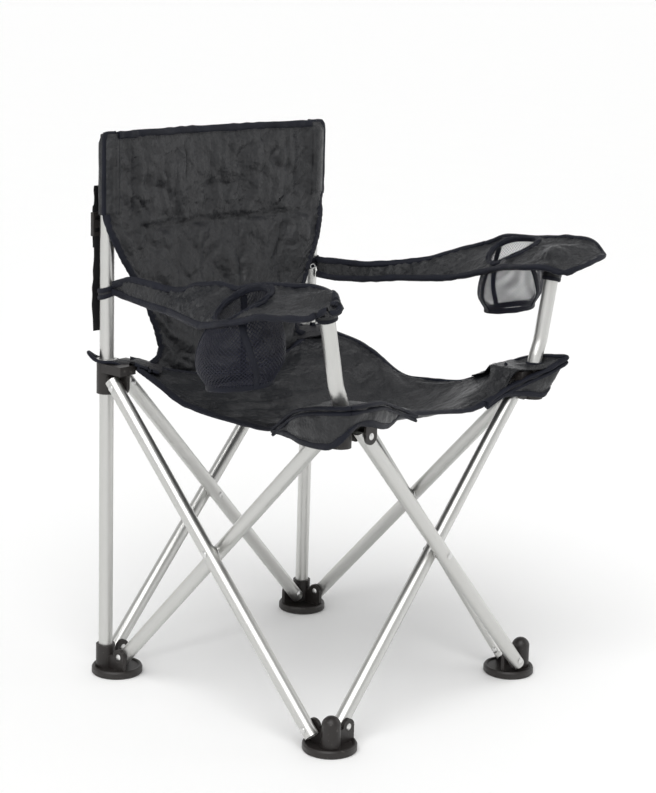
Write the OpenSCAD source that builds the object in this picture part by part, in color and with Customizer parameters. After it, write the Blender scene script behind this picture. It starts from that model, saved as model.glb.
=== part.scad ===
// Quad-fold camp armchair: four feet, eight crossed tubes, two rear posts with sliding hubs,
// two splayed arm posts on fixed front hubs, and a sling of fabric hung between them.
// The frame is the same at each corner, turned by 90 degrees. The chair faces -Y.

/* [Frame] */
// Half the distance between neighbouring corner posts
half_pitch = 235; // [225:1:245]
// Outer diameter of every aluminium tube
tube_d = 22; // [21:0.5:22]
// Wall thickness of the tubes
tube_wall = 1.3; // [1:0.1:2]
// Height of the pivots in the feet
foot_z = 33; // [33:1:36]
// Height of the pivots in the hubs, chair open
hub_z = 468; // [460:1:475]
// Distance of each pivot from its corner, along the side
pivot_in = 34; // [33:0.5:35]
// Distance of a cross tube from the plane of its side
layer = 12.5; // [12.4:0.1:12.6]
// Height of the rear posts
post_top = 834; // [820:1:840]
// Height of the arm posts
arm_top = 655; // [640:1:665]
// Lean of the arm posts, outwards from upright
arm_lean = 13; // [10:1:15]

/* [Feet and hubs] */
// Diameter of a foot's disc
foot_d = 80; // [76:1:81]
// How far the disc's centre lies inside the corner, along each side
foot_inset = 13; // [12:1:14]
// Thickness of the pivot ears
ear_t = 6; // [5:0.5:6]
// Radius of the rounded ears
ear_r = 12; // [11:0.5:12.5]
// Diameter of the rivets' shanks
rivet_d = 6; // [5:0.5:6]
// Radial clearance of a turning or sliding fit
play = 0.06; // [0.03:0.01:0.1]

/* [Fabric] */
// Thickness of the fabric's plain solids
cloth = 6; // [4:1:8]
// Height of the top edge of the backrest
back_top = 850; // [845:1:855]
// Height of the lower edge of the sleeves on the rear posts
sleeve_low = 728; // [715:1:740]
// Height of the middle of the seat
seat_low = 432; // [420:1:445]
// Height of the middle of each edge of the seat
seat_edge = 448; // [440:1:460]
// Height of the loops that hold the armrests to the rear posts
loop_z = 596; // [590:1:600]
// Radius of the cup holders at the rim
cup_r = 50; // [45:1:52]
// Depth of the cup holders
cup_depth = 98; // [80:1:105]

/* [Hidden] */
$fn = 48;

tube_r = tube_d / 2;
run = 2 * (half_pitch - pivot_in);
rise = hub_z - foot_z;
tube_span = sqrt(run * run + rise * rise);
lean = atan(run / rise);
tube_end = 13;              // how far a cross tube runs on past its end pivots
gap = 0.3;                  // clearance between a tube's side and its ear
layer_in = layer - tube_r;  // where the tubes' inner faces start
head_r = 5;
head_h = 2;
black = [0.09, 0.085, 0.08];
alloy = [0.83, 0.84, 0.85];
fabric = [0.12, 0.13, 0.15];
trim = [0.06, 0.07, 0.12];

disc_h = 10;
rim_h = 12.5;
socket_r = 15;
socket_top = 47;
stub_top = 58;
post_seat = 8;
ear_low = layer_in - gap;   // near face of an ear, measured from the side's plane
roof_low = hub_z + 19;
hub_top = roof_low + 14;
hub_low = hub_z - 15;
arm_in = 2;                 // inset of an arm post from its corner
arm_x = half_pitch - arm_in;
pad_ahead = 66;             // how far an armrest reaches ahead of its post
// The frame's middle lies this far behind the middle of the whole chair
centre_y = (arm_x + pad_ahead - (half_pitch - foot_inset + foot_d / 2)) / 2;
cheek_in = layer + tube_r + gap;
cheek_t = 4;

// ---- placing -------------------------------------------------------------------------------

// Corner 0 is rear right, then 1 front right, 2 front left and 3 rear left
module at_corner(k) {
  translate([0, centre_y, 0]) rotate([0, 0, 90 * k]) children();
}

// Puts its children at corner 0's post axis
module at_post() {
  translate([-half_pitch, half_pitch, 0]) children();
}

// Right side as is, left side mirrored
module on_side(left) {
  translate([0, centre_y, 0]) mirror([left ? 1 : 0, 0, 0]) children();
}

// ---- tubes and rivets ----------------------------------------------------------------------

module pipe(length) {
  difference() {
    cylinder(h = length, r = tube_r);
    translate([0, 0, -1]) cylinder(h = length + 2, r = tube_r - tube_wall);
  }
}

// A cross tube of side k: an inner one rises from corner k, an outer one from corner k + 1
module cross_tube(k, outer) {
  length = tube_span + 2 * tube_end;
  at_corner(k)
    translate([-half_pitch + (outer ? -layer : layer), 0, foot_z + rise / 2])
      rotate([outer ? -lean : lean, 0, 0])
        color(alloy) difference() {
          translate([0, 0, -length / 2]) pipe(length);
          for (z = [-tube_span / 2, 0, tube_span / 2])
            translate([-tube_d, 0, z]) rotate([0, 90, 0]) cylinder(h = 2 * tube_d, r = rivet_d / 2 + play);
        }
}

module dome(r, h) {
  ball = (r * r + h * h) / (2 * h);
  intersection() {
    translate([0, 0, h - ball]) sphere(r = ball);
    cylinder(h = h + 1, r = r + 1);
  }
}

// A rivet from z = 0 to z = length between its two domed heads
module rivet(length) {
  color(alloy) union() {
    translate([0, 0, -0.5]) cylinder(h = length + 1, r = rivet_d / 2);
    translate([0, 0, length]) dome(head_r, head_h);
    rotate([180, 0, 0]) dome(head_r, head_h);
  }
}

// The rivet of the tube on a corner's next side: it lies along X
module rivet_next(x_low, x_high, z) {
  translate([-half_pitch + x_low, half_pitch - pivot_in, z])
    rotate([0, 90, 0]) rivet(x_high - x_low);
}

// The rivet of the tube on a corner's previous side: it lies along Y
module rivet_previous(y_low, y_high, z) {
  translate([-half_pitch + pivot_in, half_pitch + y_high, z])
    rotate([90, 0, 0]) rivet(y_high - y_low);
}

// The rivet where the two tubes of side k cross, with the spacer ring between them
module cross_rivet(k) {
  reach = layer + tube_r + gap / 2;
  ring_t = 2 * layer_in - 0.6;
  at_corner(k) translate([-half_pitch, 0, foot_z + rise / 2]) rotate([0, 90, 0]) {
    translate([0, 0, -reach]) rivet(2 * reach);
    color(black) translate([0, 0, -ring_t / 2]) difference() {
      cylinder(h = ring_t, r = 8);
      translate([0, 0, -1]) cylinder(h = ring_t + 2, r = rivet_d / 2 + play);
    }
  }
}

// ---- feet ----------------------------------------------------------------------------------

// An ear across X: its plate starts at x and is ear_t thick, with its pivot on the next side
module ear_next(x, z, z_low, z_high, reach) {
  translate([-half_pitch + x, half_pitch - pivot_in, z])
    rotate([0, 90, 0]) cylinder(h = ear_t, r = ear_r);
  translate([-half_pitch + x, half_pitch - pivot_in - ear_r, z_low])
    cube([ear_t, 2 * ear_r, z_high - z_low]);
  translate([-half_pitch + x, half_pitch - pivot_in, z_low])
    cube([ear_t, pivot_in - reach, z_high - z_low]);
}

// The same ear on the previous side, across Y
module ear_previous(y, z, z_low, z_high, reach) {
  translate([-half_pitch + pivot_in, half_pitch + y + ear_t, z])
    rotate([90, 0, 0]) cylinder(h = ear_t, r = ear_r);
  translate([-half_pitch + pivot_in - ear_r, half_pitch + y, z_low])
    cube([2 * ear_r, ear_t, z_high - z_low]);
  translate([-half_pitch + reach, half_pitch + y, z_low])
    cube([pivot_in - reach, ear_t, z_high - z_low]);
}

module pivot_bores(z) {
  reach = 2 * tube_d;
  translate([-half_pitch - reach, half_pitch - pivot_in, z])
    rotate([0, 90, 0]) cylinder(h = 2 * reach, r = rivet_d / 2);
  translate([-half_pitch + pivot_in, half_pitch + reach, z])
    rotate([90, 0, 0]) cylinder(h = 2 * reach, r = rivet_d / 2);
}

// The round base, with a raised rim round a dished top
module disc() {
  r = foot_d / 2;
  translate([-half_pitch + foot_inset, half_pitch - foot_inset, 0])
    rotate_extrude($fn = 96)
      polygon([[0, 0], [r - 2, 0], [r, 2], [r, rim_h - 3], [r - 1.5, rim_h - 0.5], [r - 3, rim_h],
        [r - 5, rim_h - 0.5], [r - 7, disc_h], [0, disc_h]]);
}

module foot(k, holds_post) {
  color(black) at_corner(k) difference() {
    union() {
      disc();
      ear_next(ear_low - ear_t, foot_z, disc_h - 2, foot_z, 8);
      ear_previous(ear_low - ear_t, foot_z, disc_h - 2, foot_z, 8);
      at_post() {
        if (holds_post) translate([0, 0, 5]) cylinder(h = socket_top - 5, r = socket_r);
        else {
          translate([0, 0, 5]) cylinder(h = stub_top - 12 - 5, r = socket_r - 1);
          translate([0, 0, stub_top - 12]) dome(socket_r - 1, 12);
        }
      }
    }
    pivot_bores(foot_z);
    if (holds_post) at_post() translate([0, 0, post_seat]) cylinder(h = post_top, r = tube_r);
  }
}

module foot_rivets(k) {
  low = ear_low - ear_t;
  high = layer + tube_r + gap;
  at_corner(k) {
    rivet_next(low, high, foot_z);
    rivet_previous(low, high, foot_z);
  }
}

// ---- rear posts ----------------------------------------------------------------------------

module post(k) {
  color(alloy) at_corner(k) at_post() translate([0, 0, post_seat]) pipe(post_top - post_seat);
}

// ---- hubs ----------------------------------------------------------------------------------

// The flat top that joins the two ears over the tubes' ends
module roof(next_low) {
  t = hub_top - roof_low;
  translate([-half_pitch + next_low, half_pitch - pivot_in - ear_r, roof_low])
    cube([tube_r + ear_t - next_low, pivot_in + ear_r, t]);
  translate([-half_pitch, half_pitch - tube_r - ear_t, roof_low])
    cube([pivot_in + ear_r, tube_r + 2 * ear_t, t]);
}

module hub_ears() {
  ear_next(-ear_low, hub_z, hub_z, roof_low + 1, 8);
  ear_previous(-ear_low, hub_z, hub_z, roof_low + 1, 8);
}

// A rear hub slides on its post as the chair folds
module slider(k) {
  color(black) at_corner(k) difference() {
    union() {
      hub_ears();
      roof(-socket_r);
      at_post() translate([0, 0, hub_low]) cylinder(h = hub_top - hub_low, r = socket_r + 0.5);
    }
    pivot_bores(hub_z);
    at_post() translate([0, 0, hub_low - 1]) cylinder(h = hub_top - hub_low + 2, r = tube_r + play);
  }
}

// A front hub holds its arm post, and a cheek covers the end of its outer tube
module front_hub(k) {
  color(black) at_corner(k) difference() {
    union() {
      hub_ears();
      roof(-cheek_in - cheek_t);
      translate([-half_pitch - cheek_in - cheek_t, half_pitch - pivot_in, hub_z])
        rotate([0, 90, 0]) cylinder(h = cheek_t, r = ear_r);
      translate([-half_pitch - cheek_in - cheek_t, half_pitch - pivot_in - ear_r, hub_z])
        cube([cheek_t, 2 * ear_r, roof_low - hub_z + 1]);
      at_post() translate([arm_in, -arm_in, hub_low]) cylinder(h = hub_top - hub_low, r = socket_r + 1);
    }
    pivot_bores(hub_z);
    at_post() translate([arm_in, -arm_in, hub_low + 4]) cylinder(h = hub_top, r = tube_r);
  }
}

module hub_rivets(k, outer_low) {
  ear_face = ear_t - ear_low;
  at_corner(k) {
    rivet_next(outer_low, ear_face, hub_z);
    rivet_previous(-layer - tube_r - gap, ear_face, hub_z);
  }
}

// ---- arm posts -----------------------------------------------------------------------------

arm_foot = hub_low + 4;
bend_r = 60;
first_bend = 2 * arm_lean;
knee_z = 500;
knee = 9;
knee_x = bend_r * (1 - cos(first_bend)) + knee * sin(first_bend);
knee_end = knee_z + bend_r * sin(first_bend) + knee * cos(first_bend);
lean_x = knee_x + bend_r * (cos(arm_lean) - cos(first_bend));
lean_z = knee_end + bend_r * (sin(first_bend) - sin(arm_lean));
arm_end_x = arm_x + lean_x + (arm_top - lean_z) * tan(arm_lean);

// Stations along the arm post: distance outwards, height and lean
arm_path = concat(
  [[0, arm_foot, 0]],
  [for (i = [0:4]) let (a = first_bend * i / 4)
    [bend_r * (1 - cos(a)), knee_z + bend_r * sin(a), a]],
  [for (i = [0:3]) let (a = first_bend - (first_bend - arm_lean) * i / 3)
    [knee_x + bend_r * (cos(a) - cos(first_bend)), knee_end + bend_r * (sin(first_bend) - sin(a)), a]],
  [[arm_end_x - arm_x, arm_top, arm_lean]]);

function ring(station, r, sides) = [for (i = [0:sides - 1]) let (t = 360 * i / sides)
  [station[0] + r * cos(t) * cos(station[2]), r * sin(t), station[1] - r * cos(t) * sin(station[2])]];

// A round tube swept along stations that lie in the XZ plane
module swept_tube(path, r_out, r_in, sides) {
  m = len(path);
  n = sides;
  inner = m * n;
  last = (m - 1) * n;
  points = [
    for (r = [r_out, r_in]) for (station = path) each ring(station, r, n)
  ];
  walls = [for (j = [0:m - 2]) for (i = [0:n - 1]) let (k = (i + 1) % n)
    [[j * n + i, (j + 1) * n + i, (j + 1) * n + k, j * n + k],
     [inner + j * n + k, inner + (j + 1) * n + k, inner + (j + 1) * n + i, inner + j * n + i]]];
  ends = [for (i = [0:n - 1]) let (k = (i + 1) % n)
    [[i, k, inner + k, inner + i], [last + k, last + i, inner + last + i, inner + last + k]]];
  polyhedron(points, [for (pair = concat(walls, ends)) each pair]);
}

module arm_post(left) {
  color(alloy) on_side(left) translate([-arm_x, -arm_x, 0]) mirror([1, 0, 0])
    swept_tube(arm_path, tube_r, tube_r - tube_wall, 32);
}

// ---- backrest ------------------------------------------------------------------------------

sleeve_r = 15;
panel_half = half_pitch - sleeve_r - 0.3;
bow = 24;                    // how far the middle of the backrest sags to the rear

// The upper sheet's centre line bows to the rear between the posts
function bow_y(x, half) = bow * cos(90 * x / half);

module bowed_sheet(half, y, z_low, z_high, t) {
  steps = 12;
  front = [for (i = [-steps:steps]) [half * i / steps, y + bow_y(i, steps)]];
  rear = [for (i = [-steps:steps]) [-half * i / steps, y + t + bow_y(i, steps)]];
  translate([0, 0, z_low]) linear_extrude(z_high - z_low) polygon(concat(front, rear));
}

// A sleeve is sewn round each post and closed at the top
module sleeve(left) {
  color(fabric) on_side(left) at_post() difference() {
    translate([0, 0, sleeve_low]) cylinder(h = back_top - sleeve_low, r = sleeve_r);
    translate([0, 0, sleeve_low - 1]) cylinder(h = post_top - sleeve_low + 6, r = tube_r + gap);
  }
}

module back_panel() {
  color(fabric) on_side(false) bowed_sheet(panel_half, half_pitch - cloth, sleeve_low, back_top, cloth);
}

// One band of the lower backrest, narrowing from the top to the bottom
module back_band(z_low, half_low, y_low, z_high, half_high, y_high) {
  t = cloth;
  points = [
    for (end = [[z_low, half_low, y_low], [z_high, half_high, y_high]])
      for (corner = [[-1, 0], [1, 0], [1, t], [-1, t]])
        [corner[0] * end[1], end[2] + corner[1], end[0]]
  ];
  faces = [[0, 1, 2, 3], [7, 6, 5, 4], [0, 4, 5, 1], [1, 5, 6, 2], [2, 6, 7, 3], [3, 7, 4, 0]];
  color(fabric) on_side(false) polyhedron(points, faces);
}

fold_z = 604;                // height of the crease where the lower backrest folds
mid_half = 190;
low_half = 184;
mid_y = 206;
low_y = 196;
back_low = 466;

module back_mid() {
  back_band(fold_z + gap, mid_half, mid_y, sleeve_low - gap, panel_half, half_pitch - cloth);
}

module back_lower() {
  back_band(back_low, low_half, low_y, fold_z - gap, mid_half, mid_y);
}

// ---- seat ----------------------------------------------------------------------------------

seat_corner = half_pitch - 45; // where the seat's sewn corners lie, along both sides
seat_rim = half_pitch - 12;    // the line of the seat's edges between them
seat_rear_rim = low_y - 1;     // the line of its rear edge, which is sewn to the backrest
seat_z = hub_top + 4.5;
wing_z = seat_z - 3.5;         // under face of the wings and the corner pockets

// A quarter of the seat, from the edge of side k to the middle: the edge sags between its corners
module seat_quarter(k) {
  m = 1.5;                    // half the gap between neighbouring quarters
  s = m * sqrt(2);
  rim = k == 3 ? seat_rear_rim : seat_rim;
  corners = [[-rim, seat_corner - 30], [-seat_corner, seat_corner - s]];
  sag = [[-rim, 0, seat_edge], [-s, 0, seat_low]];
  color(fabric) at_corner(k) for (side = [-1, 1]) hull() {
    for (p = corners) translate([p[0], side * p[1], seat_z]) cylinder(h = cloth, r = 0.4, $fn = 16);
    for (p = sag) translate(p) cylinder(h = cloth, r = 0.4, $fn = 16);
  }
}

// The strip from the seat's rear corner to the rear post, with a hole round the post
module wing(left) {
  w = 17;
  color(trim) on_side(left) at_post() difference() {
    union() {
      translate([0, 0, wing_z]) cylinder(h = 3, r = w);
      rotate([0, 0, -45]) translate([0, -w + 2, wing_z]) cube([50, 2 * w - 4, 3]);
    }
    translate([0, 0, wing_z - 1]) cylinder(h = 5, r = tube_r + 1.5);
  }
}

module eyelet(left) {
  color(alloy) on_side(left) at_post() translate([0, 0, wing_z + 3]) difference() {
    cylinder(h = 1.6, r = 16);
    translate([0, 0, -1]) cylinder(h = 4, r = tube_r + 1);
  }
}

// The pocket of the seat's front corner, over the hub and down its two outer sides
module corner_pocket(k) {
  reach = 48;
  drop = 40;
  next_x = cheek_in + cheek_t + head_h + 1;
  previous_y = 20;
  color(fabric) at_corner(k) at_post() difference() {
    union() {
      translate([-next_x - 3, -reach, wing_z]) cube([next_x + 3 + reach, reach + previous_y, 3]);
      translate([-next_x - 3, -reach, wing_z + 3 - drop]) cube([3, reach + previous_y, drop]);
      translate([-next_x - 3, previous_y - 3, wing_z + 3 - drop]) cube([next_x + 3 + reach, 3, drop]);
    }
    translate([arm_in, -arm_in, wing_z - 20]) cylinder(h = 40, r = tube_r + 2);
  }
}

// ---- armrests ------------------------------------------------------------------------------

pad_z = arm_top + 2;
pad_t = 8;
pad_in = arm_end_x - 46;     // inner edge of the pad at the front
pad_waist = half_pitch + 19; // inner edge of the pad beside and behind the cup holder
pad_out = arm_end_x + 74;
pad_front = -arm_x - pad_ahead;
pad_rear = -56;
cup_x = half_pitch + 67.5;
cup_y = -114;
cup_wall = 2.5;
strip_z = 609;               // middle of the strip where it meets the loop on the rear post
strip_h = 32;

// The pad over the arm post: its inner edge steps outwards, so that it passes the rear post
module pad_outline() {
  offset(r = 12) offset(delta = -12)
    polygon([[-pad_in, pad_front], [-pad_in, -172], [-pad_waist, -160], [-pad_waist, pad_rear],
      [-pad_out + 10, pad_rear], [-pad_out, cup_y + 34], [-pad_out, pad_front]]);
}

module armrest(left) {
  color(fabric) on_side(left) translate([0, 0, pad_z]) difference() {
    linear_extrude(pad_t) pad_outline();
    translate([-cup_x, cup_y, -1]) cylinder(h = pad_t + 2, r = cup_r - 12);
    translate([-arm_end_x, -arm_x, -5]) rotate([0, -arm_lean, 0]) cylinder(h = 9, r = tube_r + 2);
  }
}

// The strip that runs from the pad back to the loop on the rear post, turning on edge
module arm_strip(left) {
  color(fabric) on_side(left) hull() {
    translate([-pad_out + 16, pad_rear + 1, pad_z + 1]) cube([pad_out - pad_waist - 20, 1, cloth]);
    translate([-half_pitch - 3, half_pitch - 19, strip_z - strip_h / 2]) cube([cloth, 1, strip_h]);
  }
}

// The mesh cup that hangs under the hole of the armrest
module cup_holder(left) {
  rim = cup_depth - gap;
  color(trim) on_side(left) translate([-cup_x, cup_y, pad_z - cup_depth])
    rotate_extrude()
      polygon([[0, 0], [cup_r - 22, 0], [cup_r - 8, 12], [cup_r, 40], [cup_r, rim],
        [cup_r - cup_wall, rim], [cup_r - cup_wall, 41], [cup_r - 10, 14],
        [cup_r - 23, cup_wall], [0, cup_wall]]);
}

module arm_loop(left) {
  color(fabric) on_side(left) at_post() translate([0, 0, loop_z]) difference() {
    cylinder(h = 26, r = tube_r + 4);
    translate([0, 0, -1]) cylinder(h = 28, r = tube_r + gap);
  }
}

// ---- straps --------------------------------------------------------------------------------

strap_w = 20;
strap_t = 2;
strap_y = half_pitch + sleeve_r + 3;
strap_high = 770;
strap_low = 548;
buckle_z = 712;
buckle_h = 36;

module strap(left) {
  color(trim) on_side(left) translate([-half_pitch - strap_w / 2, strap_y, 0]) {
    translate([0, 0, strap_low]) cube([strap_w, strap_t, buckle_z - buckle_h / 2 - 0.1 - strap_low]);
    translate([0, 0, buckle_z + buckle_h / 2 + 0.1])
      cube([strap_w, strap_t, strap_high - buckle_z - buckle_h / 2 - 0.1]);
  }
}

// A ladder-lock buckle: a frame with two slots across it
module buckle(left) {
  w = strap_w + 7;
  color(black) on_side(left)
    translate([-half_pitch - w / 2, strap_y - 2, buckle_z - buckle_h / 2]) difference() {
      cube([w, 6, buckle_h]);
      for (z = [6, buckle_h - 12]) translate([3.5, -1, z]) cube([strap_w, 8, 6]);
    }
}

// ---- nodes ---------------------------------------------------------------------------------

foot(0, true);  // foot_rear_right
foot(1, false);  // foot_front_right
foot(2, false);  // foot_front_left
foot(3, true);  // foot_rear_left
foot_rivets(0);  // foot_rivets_rear_right
foot_rivets(1);  // foot_rivets_front_right
foot_rivets(2);  // foot_rivets_front_left
foot_rivets(3);  // foot_rivets_rear_left
post(0);  // post_rear_right
post(3);  // post_rear_left
cross_tube(0, false);  // tube_right_inner
cross_tube(0, true);  // tube_right_outer
cross_tube(1, false);  // tube_front_inner
cross_tube(1, true);  // tube_front_outer
cross_tube(2, false);  // tube_left_inner
cross_tube(2, true);  // tube_left_outer
cross_tube(3, false);  // tube_back_inner
cross_tube(3, true);  // tube_back_outer
cross_rivet(0);  // cross_rivet_right
cross_rivet(1);  // cross_rivet_front
cross_rivet(2);  // cross_rivet_left
cross_rivet(3);  // cross_rivet_back
slider(0);  // slider_right
slider(3);  // slider_left
front_hub(1);  // front_hub_right
front_hub(2);  // front_hub_left
hub_rivets(0, -layer - tube_r - gap);  // hub_rivets_rear_right
hub_rivets(1, -cheek_in - cheek_t);  // hub_rivets_front_right
hub_rivets(2, -cheek_in - cheek_t);  // hub_rivets_front_left
hub_rivets(3, -layer - tube_r - gap);  // hub_rivets_rear_left
arm_post(false);  // arm_post_right
arm_post(true);  // arm_post_left
sleeve(false);  // sleeve_right
sleeve(true);  // sleeve_left
back_panel();
back_mid();
back_lower();
seat_quarter(0);  // seat_right
seat_quarter(1);  // seat_front
seat_quarter(2);  // seat_left
seat_quarter(3);  // seat_back
wing(false);  // wing_right
wing(true);  // wing_left
eyelet(false);  // eyelet_right
eyelet(true);  // eyelet_left
corner_pocket(1);  // corner_pocket_right
corner_pocket(2);  // corner_pocket_left
armrest(false);  // armrest_right
armrest(true);  // armrest_left
cup_holder(false);  // cup_holder_right
cup_holder(true);  // cup_holder_left
arm_strip(false);  // arm_strip_right
arm_strip(true);  // arm_strip_left
arm_loop(false);  // arm_loop_right
arm_loop(true);  // arm_loop_left
strap(false);  // strap_right
strap(true);  // strap_left
buckle(false);  // buckle_right
buckle(true);  // buckle_left
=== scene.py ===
"""The looks of a quad-fold camp armchair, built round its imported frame.

Metres, +Z up. The chair faces -Y and +X is the sitter's left. The frame's four corners stand
round a middle that lies centre_y behind the origin, so soft pieces are laid out round that
middle and shifted by it as they are made.
"""
import math

import bpy
import numpy as np
from mathutils import Matrix, Vector, noise


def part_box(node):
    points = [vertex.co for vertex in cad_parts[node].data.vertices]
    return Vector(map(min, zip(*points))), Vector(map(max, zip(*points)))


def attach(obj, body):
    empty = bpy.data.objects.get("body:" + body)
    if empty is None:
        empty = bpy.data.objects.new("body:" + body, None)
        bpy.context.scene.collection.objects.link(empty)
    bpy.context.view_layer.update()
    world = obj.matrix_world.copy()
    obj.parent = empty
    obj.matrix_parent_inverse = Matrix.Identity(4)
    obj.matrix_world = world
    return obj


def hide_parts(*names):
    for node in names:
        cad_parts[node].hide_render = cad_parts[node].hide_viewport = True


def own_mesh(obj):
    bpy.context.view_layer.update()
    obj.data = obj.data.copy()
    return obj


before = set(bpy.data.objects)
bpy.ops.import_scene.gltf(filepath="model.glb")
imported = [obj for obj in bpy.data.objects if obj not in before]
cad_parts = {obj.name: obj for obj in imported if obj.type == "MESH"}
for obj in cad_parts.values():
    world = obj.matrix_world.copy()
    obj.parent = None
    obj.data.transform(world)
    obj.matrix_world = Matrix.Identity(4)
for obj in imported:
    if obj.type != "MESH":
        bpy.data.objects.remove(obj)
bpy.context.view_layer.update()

# ---- sizes -----------------------------------------------------------------------------------

centre_y = (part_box("foot_rear_right")[1].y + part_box("foot_front_right")[0].y) / 2
post_low, post_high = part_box("post_rear_left")
post_x = (post_low.x + post_high.x) / 2
post_y = (post_low.y + post_high.y) / 2 - centre_y
tube_r = (post_high.x - post_low.x) / 2
hub_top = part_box("slider_left")[1].z
sleeve_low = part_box("sleeve_left")[0].z
back_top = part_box("sleeve_left")[1].z
panel_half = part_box("back_panel")[1].x
fold_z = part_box("back_lower")[1].z + 0.0003
back_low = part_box("back_lower")[0].z
cup_low, cup_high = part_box("cup_holder_left")
cup_x = (cup_low.x + cup_high.x) / 2
arm_end_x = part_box("arm_post_left")[1].x - 0.011
arm_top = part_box("arm_post_left")[1].z - 0.0025
arm_x, arm_y = 0.233, -0.233     # where the arm posts come through the front corners

# Tapes and webbing: width and thickness
SEAT_TAPE = 0.0105, 0.0058
HEAD_TAPE = 0.0120, 0.0075
BACK_TAPE = 0.0115, 0.0062
SLEEVE_TAPE = 0.0115, 0.0072
ARM_TAPE = 0.0108, 0.0078
RING_TAPE = 0.0100, 0.0068
POST_TAPE = 0.0070, 0.0044
LOOP_TAPE = 0.0070, 0.0040
CUP_FOOT, CUP_RIM, CUP_RIB = (0.0090, 0.0042), (0.0090, 0.0034), (0.0095, 0.0026)
WEBBING, WEBBING_UNDER = (0.0200, 0.0021), (0.0196, 0.0020)
FOLD_TAPE, WELT, HEM_TAPE = (0.0125, 0.0056), (0.0085, 0.0050), (0.0100, 0.0052)
HOLE_TAPE = 0.0050, 0.0036
WING_TAPE = 0.0085, 0.0052
# Thickness of each cloth
SEAT_THICK, BACK_THICK, ARM_THICK, SLEEVE_THICK = 0.0024, 0.0032, 0.0026, 0.0014
LOOP_THICK, POCKET_THICK, WING_THICK = 0.0016, 0.0018, 0.0024

SIDES = (("right", -1), ("left", 1))
UP = np.array([0.0, 0.0, 1.0])
AHEAD = np.array([0.0, -1.0, 0.0])
LEVEL = np.array([1.0, 1.0, 0.0])
FULL_TURN = 2 * math.pi

# ---- materials -------------------------------------------------------------------------------


class Nodes:
    """A material's node tree, with short calls to add and link nodes."""

    def __init__(self, name):
        self.material = bpy.data.materials.new(name)
        self.material.use_nodes = True
        self.tree = self.material.node_tree
        self.shader = self.tree.nodes["Principled BSDF"]
        self.coords = self.add("ShaderNodeTexCoord").outputs
        self.place = self.coords["Object"]

    def add(self, kind, settings=None, **inputs):
        node = self.tree.nodes.new(kind)
        for key, value in (settings or {}).items():
            setattr(node, key, value)
        self.set(node, **inputs)
        return node

    def set(self, node=None, **inputs):
        """Puts each value on, or links each socket to, the input of that name or number."""
        for key, value in inputs.items():
            key = int(key[1:]) if key[1:].isdigit() else key.replace("_", " ")
            socket = (node or self.shader).inputs[key]
            if isinstance(value, bpy.types.NodeSocket):
                self.tree.links.new(value, socket)
            else:
                socket.default_value = value

    def math(self, operation, a, b=0.0):
        return self.add("ShaderNodeMath", {"operation": operation}, i0=a, i1=b).outputs[0]

    def times(self, a, b):
        return self.math("MULTIPLY", a, b)

    def plus(self, a, b):
        return self.math("ADD", a, b)

    def wave(self, along, pitch):
        """The angle of a wave that repeats every two pitches along a coordinate."""
        return self.times(along, math.pi / pitch)

    def ridges(self, angle):
        return self.math("ABSOLUTE", self.math("SINE", angle))

    def noise(self, scale, detail=3.0, where=None):
        node = self.add("ShaderNodeTexNoise", Vector=where or self.place, Scale=scale, Detail=detail)
        return node.outputs["Fac"]

    def mix(self, share, a, b):
        return self.add("ShaderNodeMix", {"data_type": "RGBA"}, i0=share, i6=a, i7=b).outputs[2]

    def remap(self, value, low, high):
        return self.add("ShaderNodeMapRange", Value=value, To_Min=low, To_Max=high).outputs[0]

    def bump(self, height, strength, distance, **below):
        node = self.add("ShaderNodeBump", Height=height, Strength=strength, Distance=distance, **below)
        return node.outputs[0]

    def uv(self):
        return self.add("ShaderNodeSeparateXYZ", Vector=self.coords["UV"]).outputs


def shade(colour, gain=1.0):
    return tuple(c * gain for c in colour) + (1.0,)


def weave(n, pitch):
    """Height of a plain weave laid along a piece's UV map, which is in metres."""
    u, v = n.uv()[:2]
    across, along = n.wave(u, pitch), n.wave(v, pitch)
    quarter = math.pi / 2
    sign = n.times(n.math("SINE", n.plus(across, quarter)), n.math("SINE", n.plus(along, quarter)))
    over = n.math("GREATER_THAN", sign, 0.0)
    return n.plus(n.times(n.ridges(across), over),
                  n.times(n.ridges(along), n.math("SUBTRACT", 1.0, over)))


def woven(name, colour, pitch, rough, depth):
    """Cloth with a plain weave, uneven dye, creasing, painted shade in the weave's low places and a little
    pale dust.
    """
    n = Nodes(name)
    threads = weave(n, pitch)
    base = n.mix(n.remap(n.noise(9.0, 4.0), 0.0, 1.0), shade(colour, 0.72), shade(colour, 1.25))
    # painted shade: where the weave lies low its colour is darkened towards half
    base = n.mix(n.times(threads, 0.55), shade(colour, 0.5), base)
    base = n.mix(n.times(n.noise(620.0, 2.0), 0.10), base, shade((0.16, 0.165, 0.18)))
    crumple = n.bump(n.noise(17.0, 4.0), 0.90, 0.026)
    soft = n.bump(n.noise(55.0, 5.0), 0.40, 0.004, Normal=crumple)
    n.set(Base_Color=base, Roughness=n.remap(n.noise(60.0), rough - 0.08, rough + 0.1),
          Normal=n.bump(threads, 0.5, depth, Normal=soft), Sheen_Weight=0.03, Sheen_Roughness=0.35,
          Sheen_Tint=(0.75, 0.8, 0.95, 1.0), Specular_IOR_Level=0.38)
    return n.material


def ribbed(name, colour, pitch):
    """Tape or webbing with ribs across its run, which is the V of its UV map."""
    n = Nodes(name)
    u, v = n.uv()[:2]
    height = n.plus(n.ridges(n.wave(v, pitch)), n.times(n.ridges(n.wave(u, pitch * 2)), 0.4))
    n.set(Base_Color=n.mix(n.noise(30.0), shade(colour, 0.6), shade(colour, 1.5)), Roughness=0.58,
          Normal=n.bump(height, 0.6, 0.0004), Sheen_Weight=0.03, Sheen_Roughness=0.4, Specular_IOR_Level=0.2)
    return n.material


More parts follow.
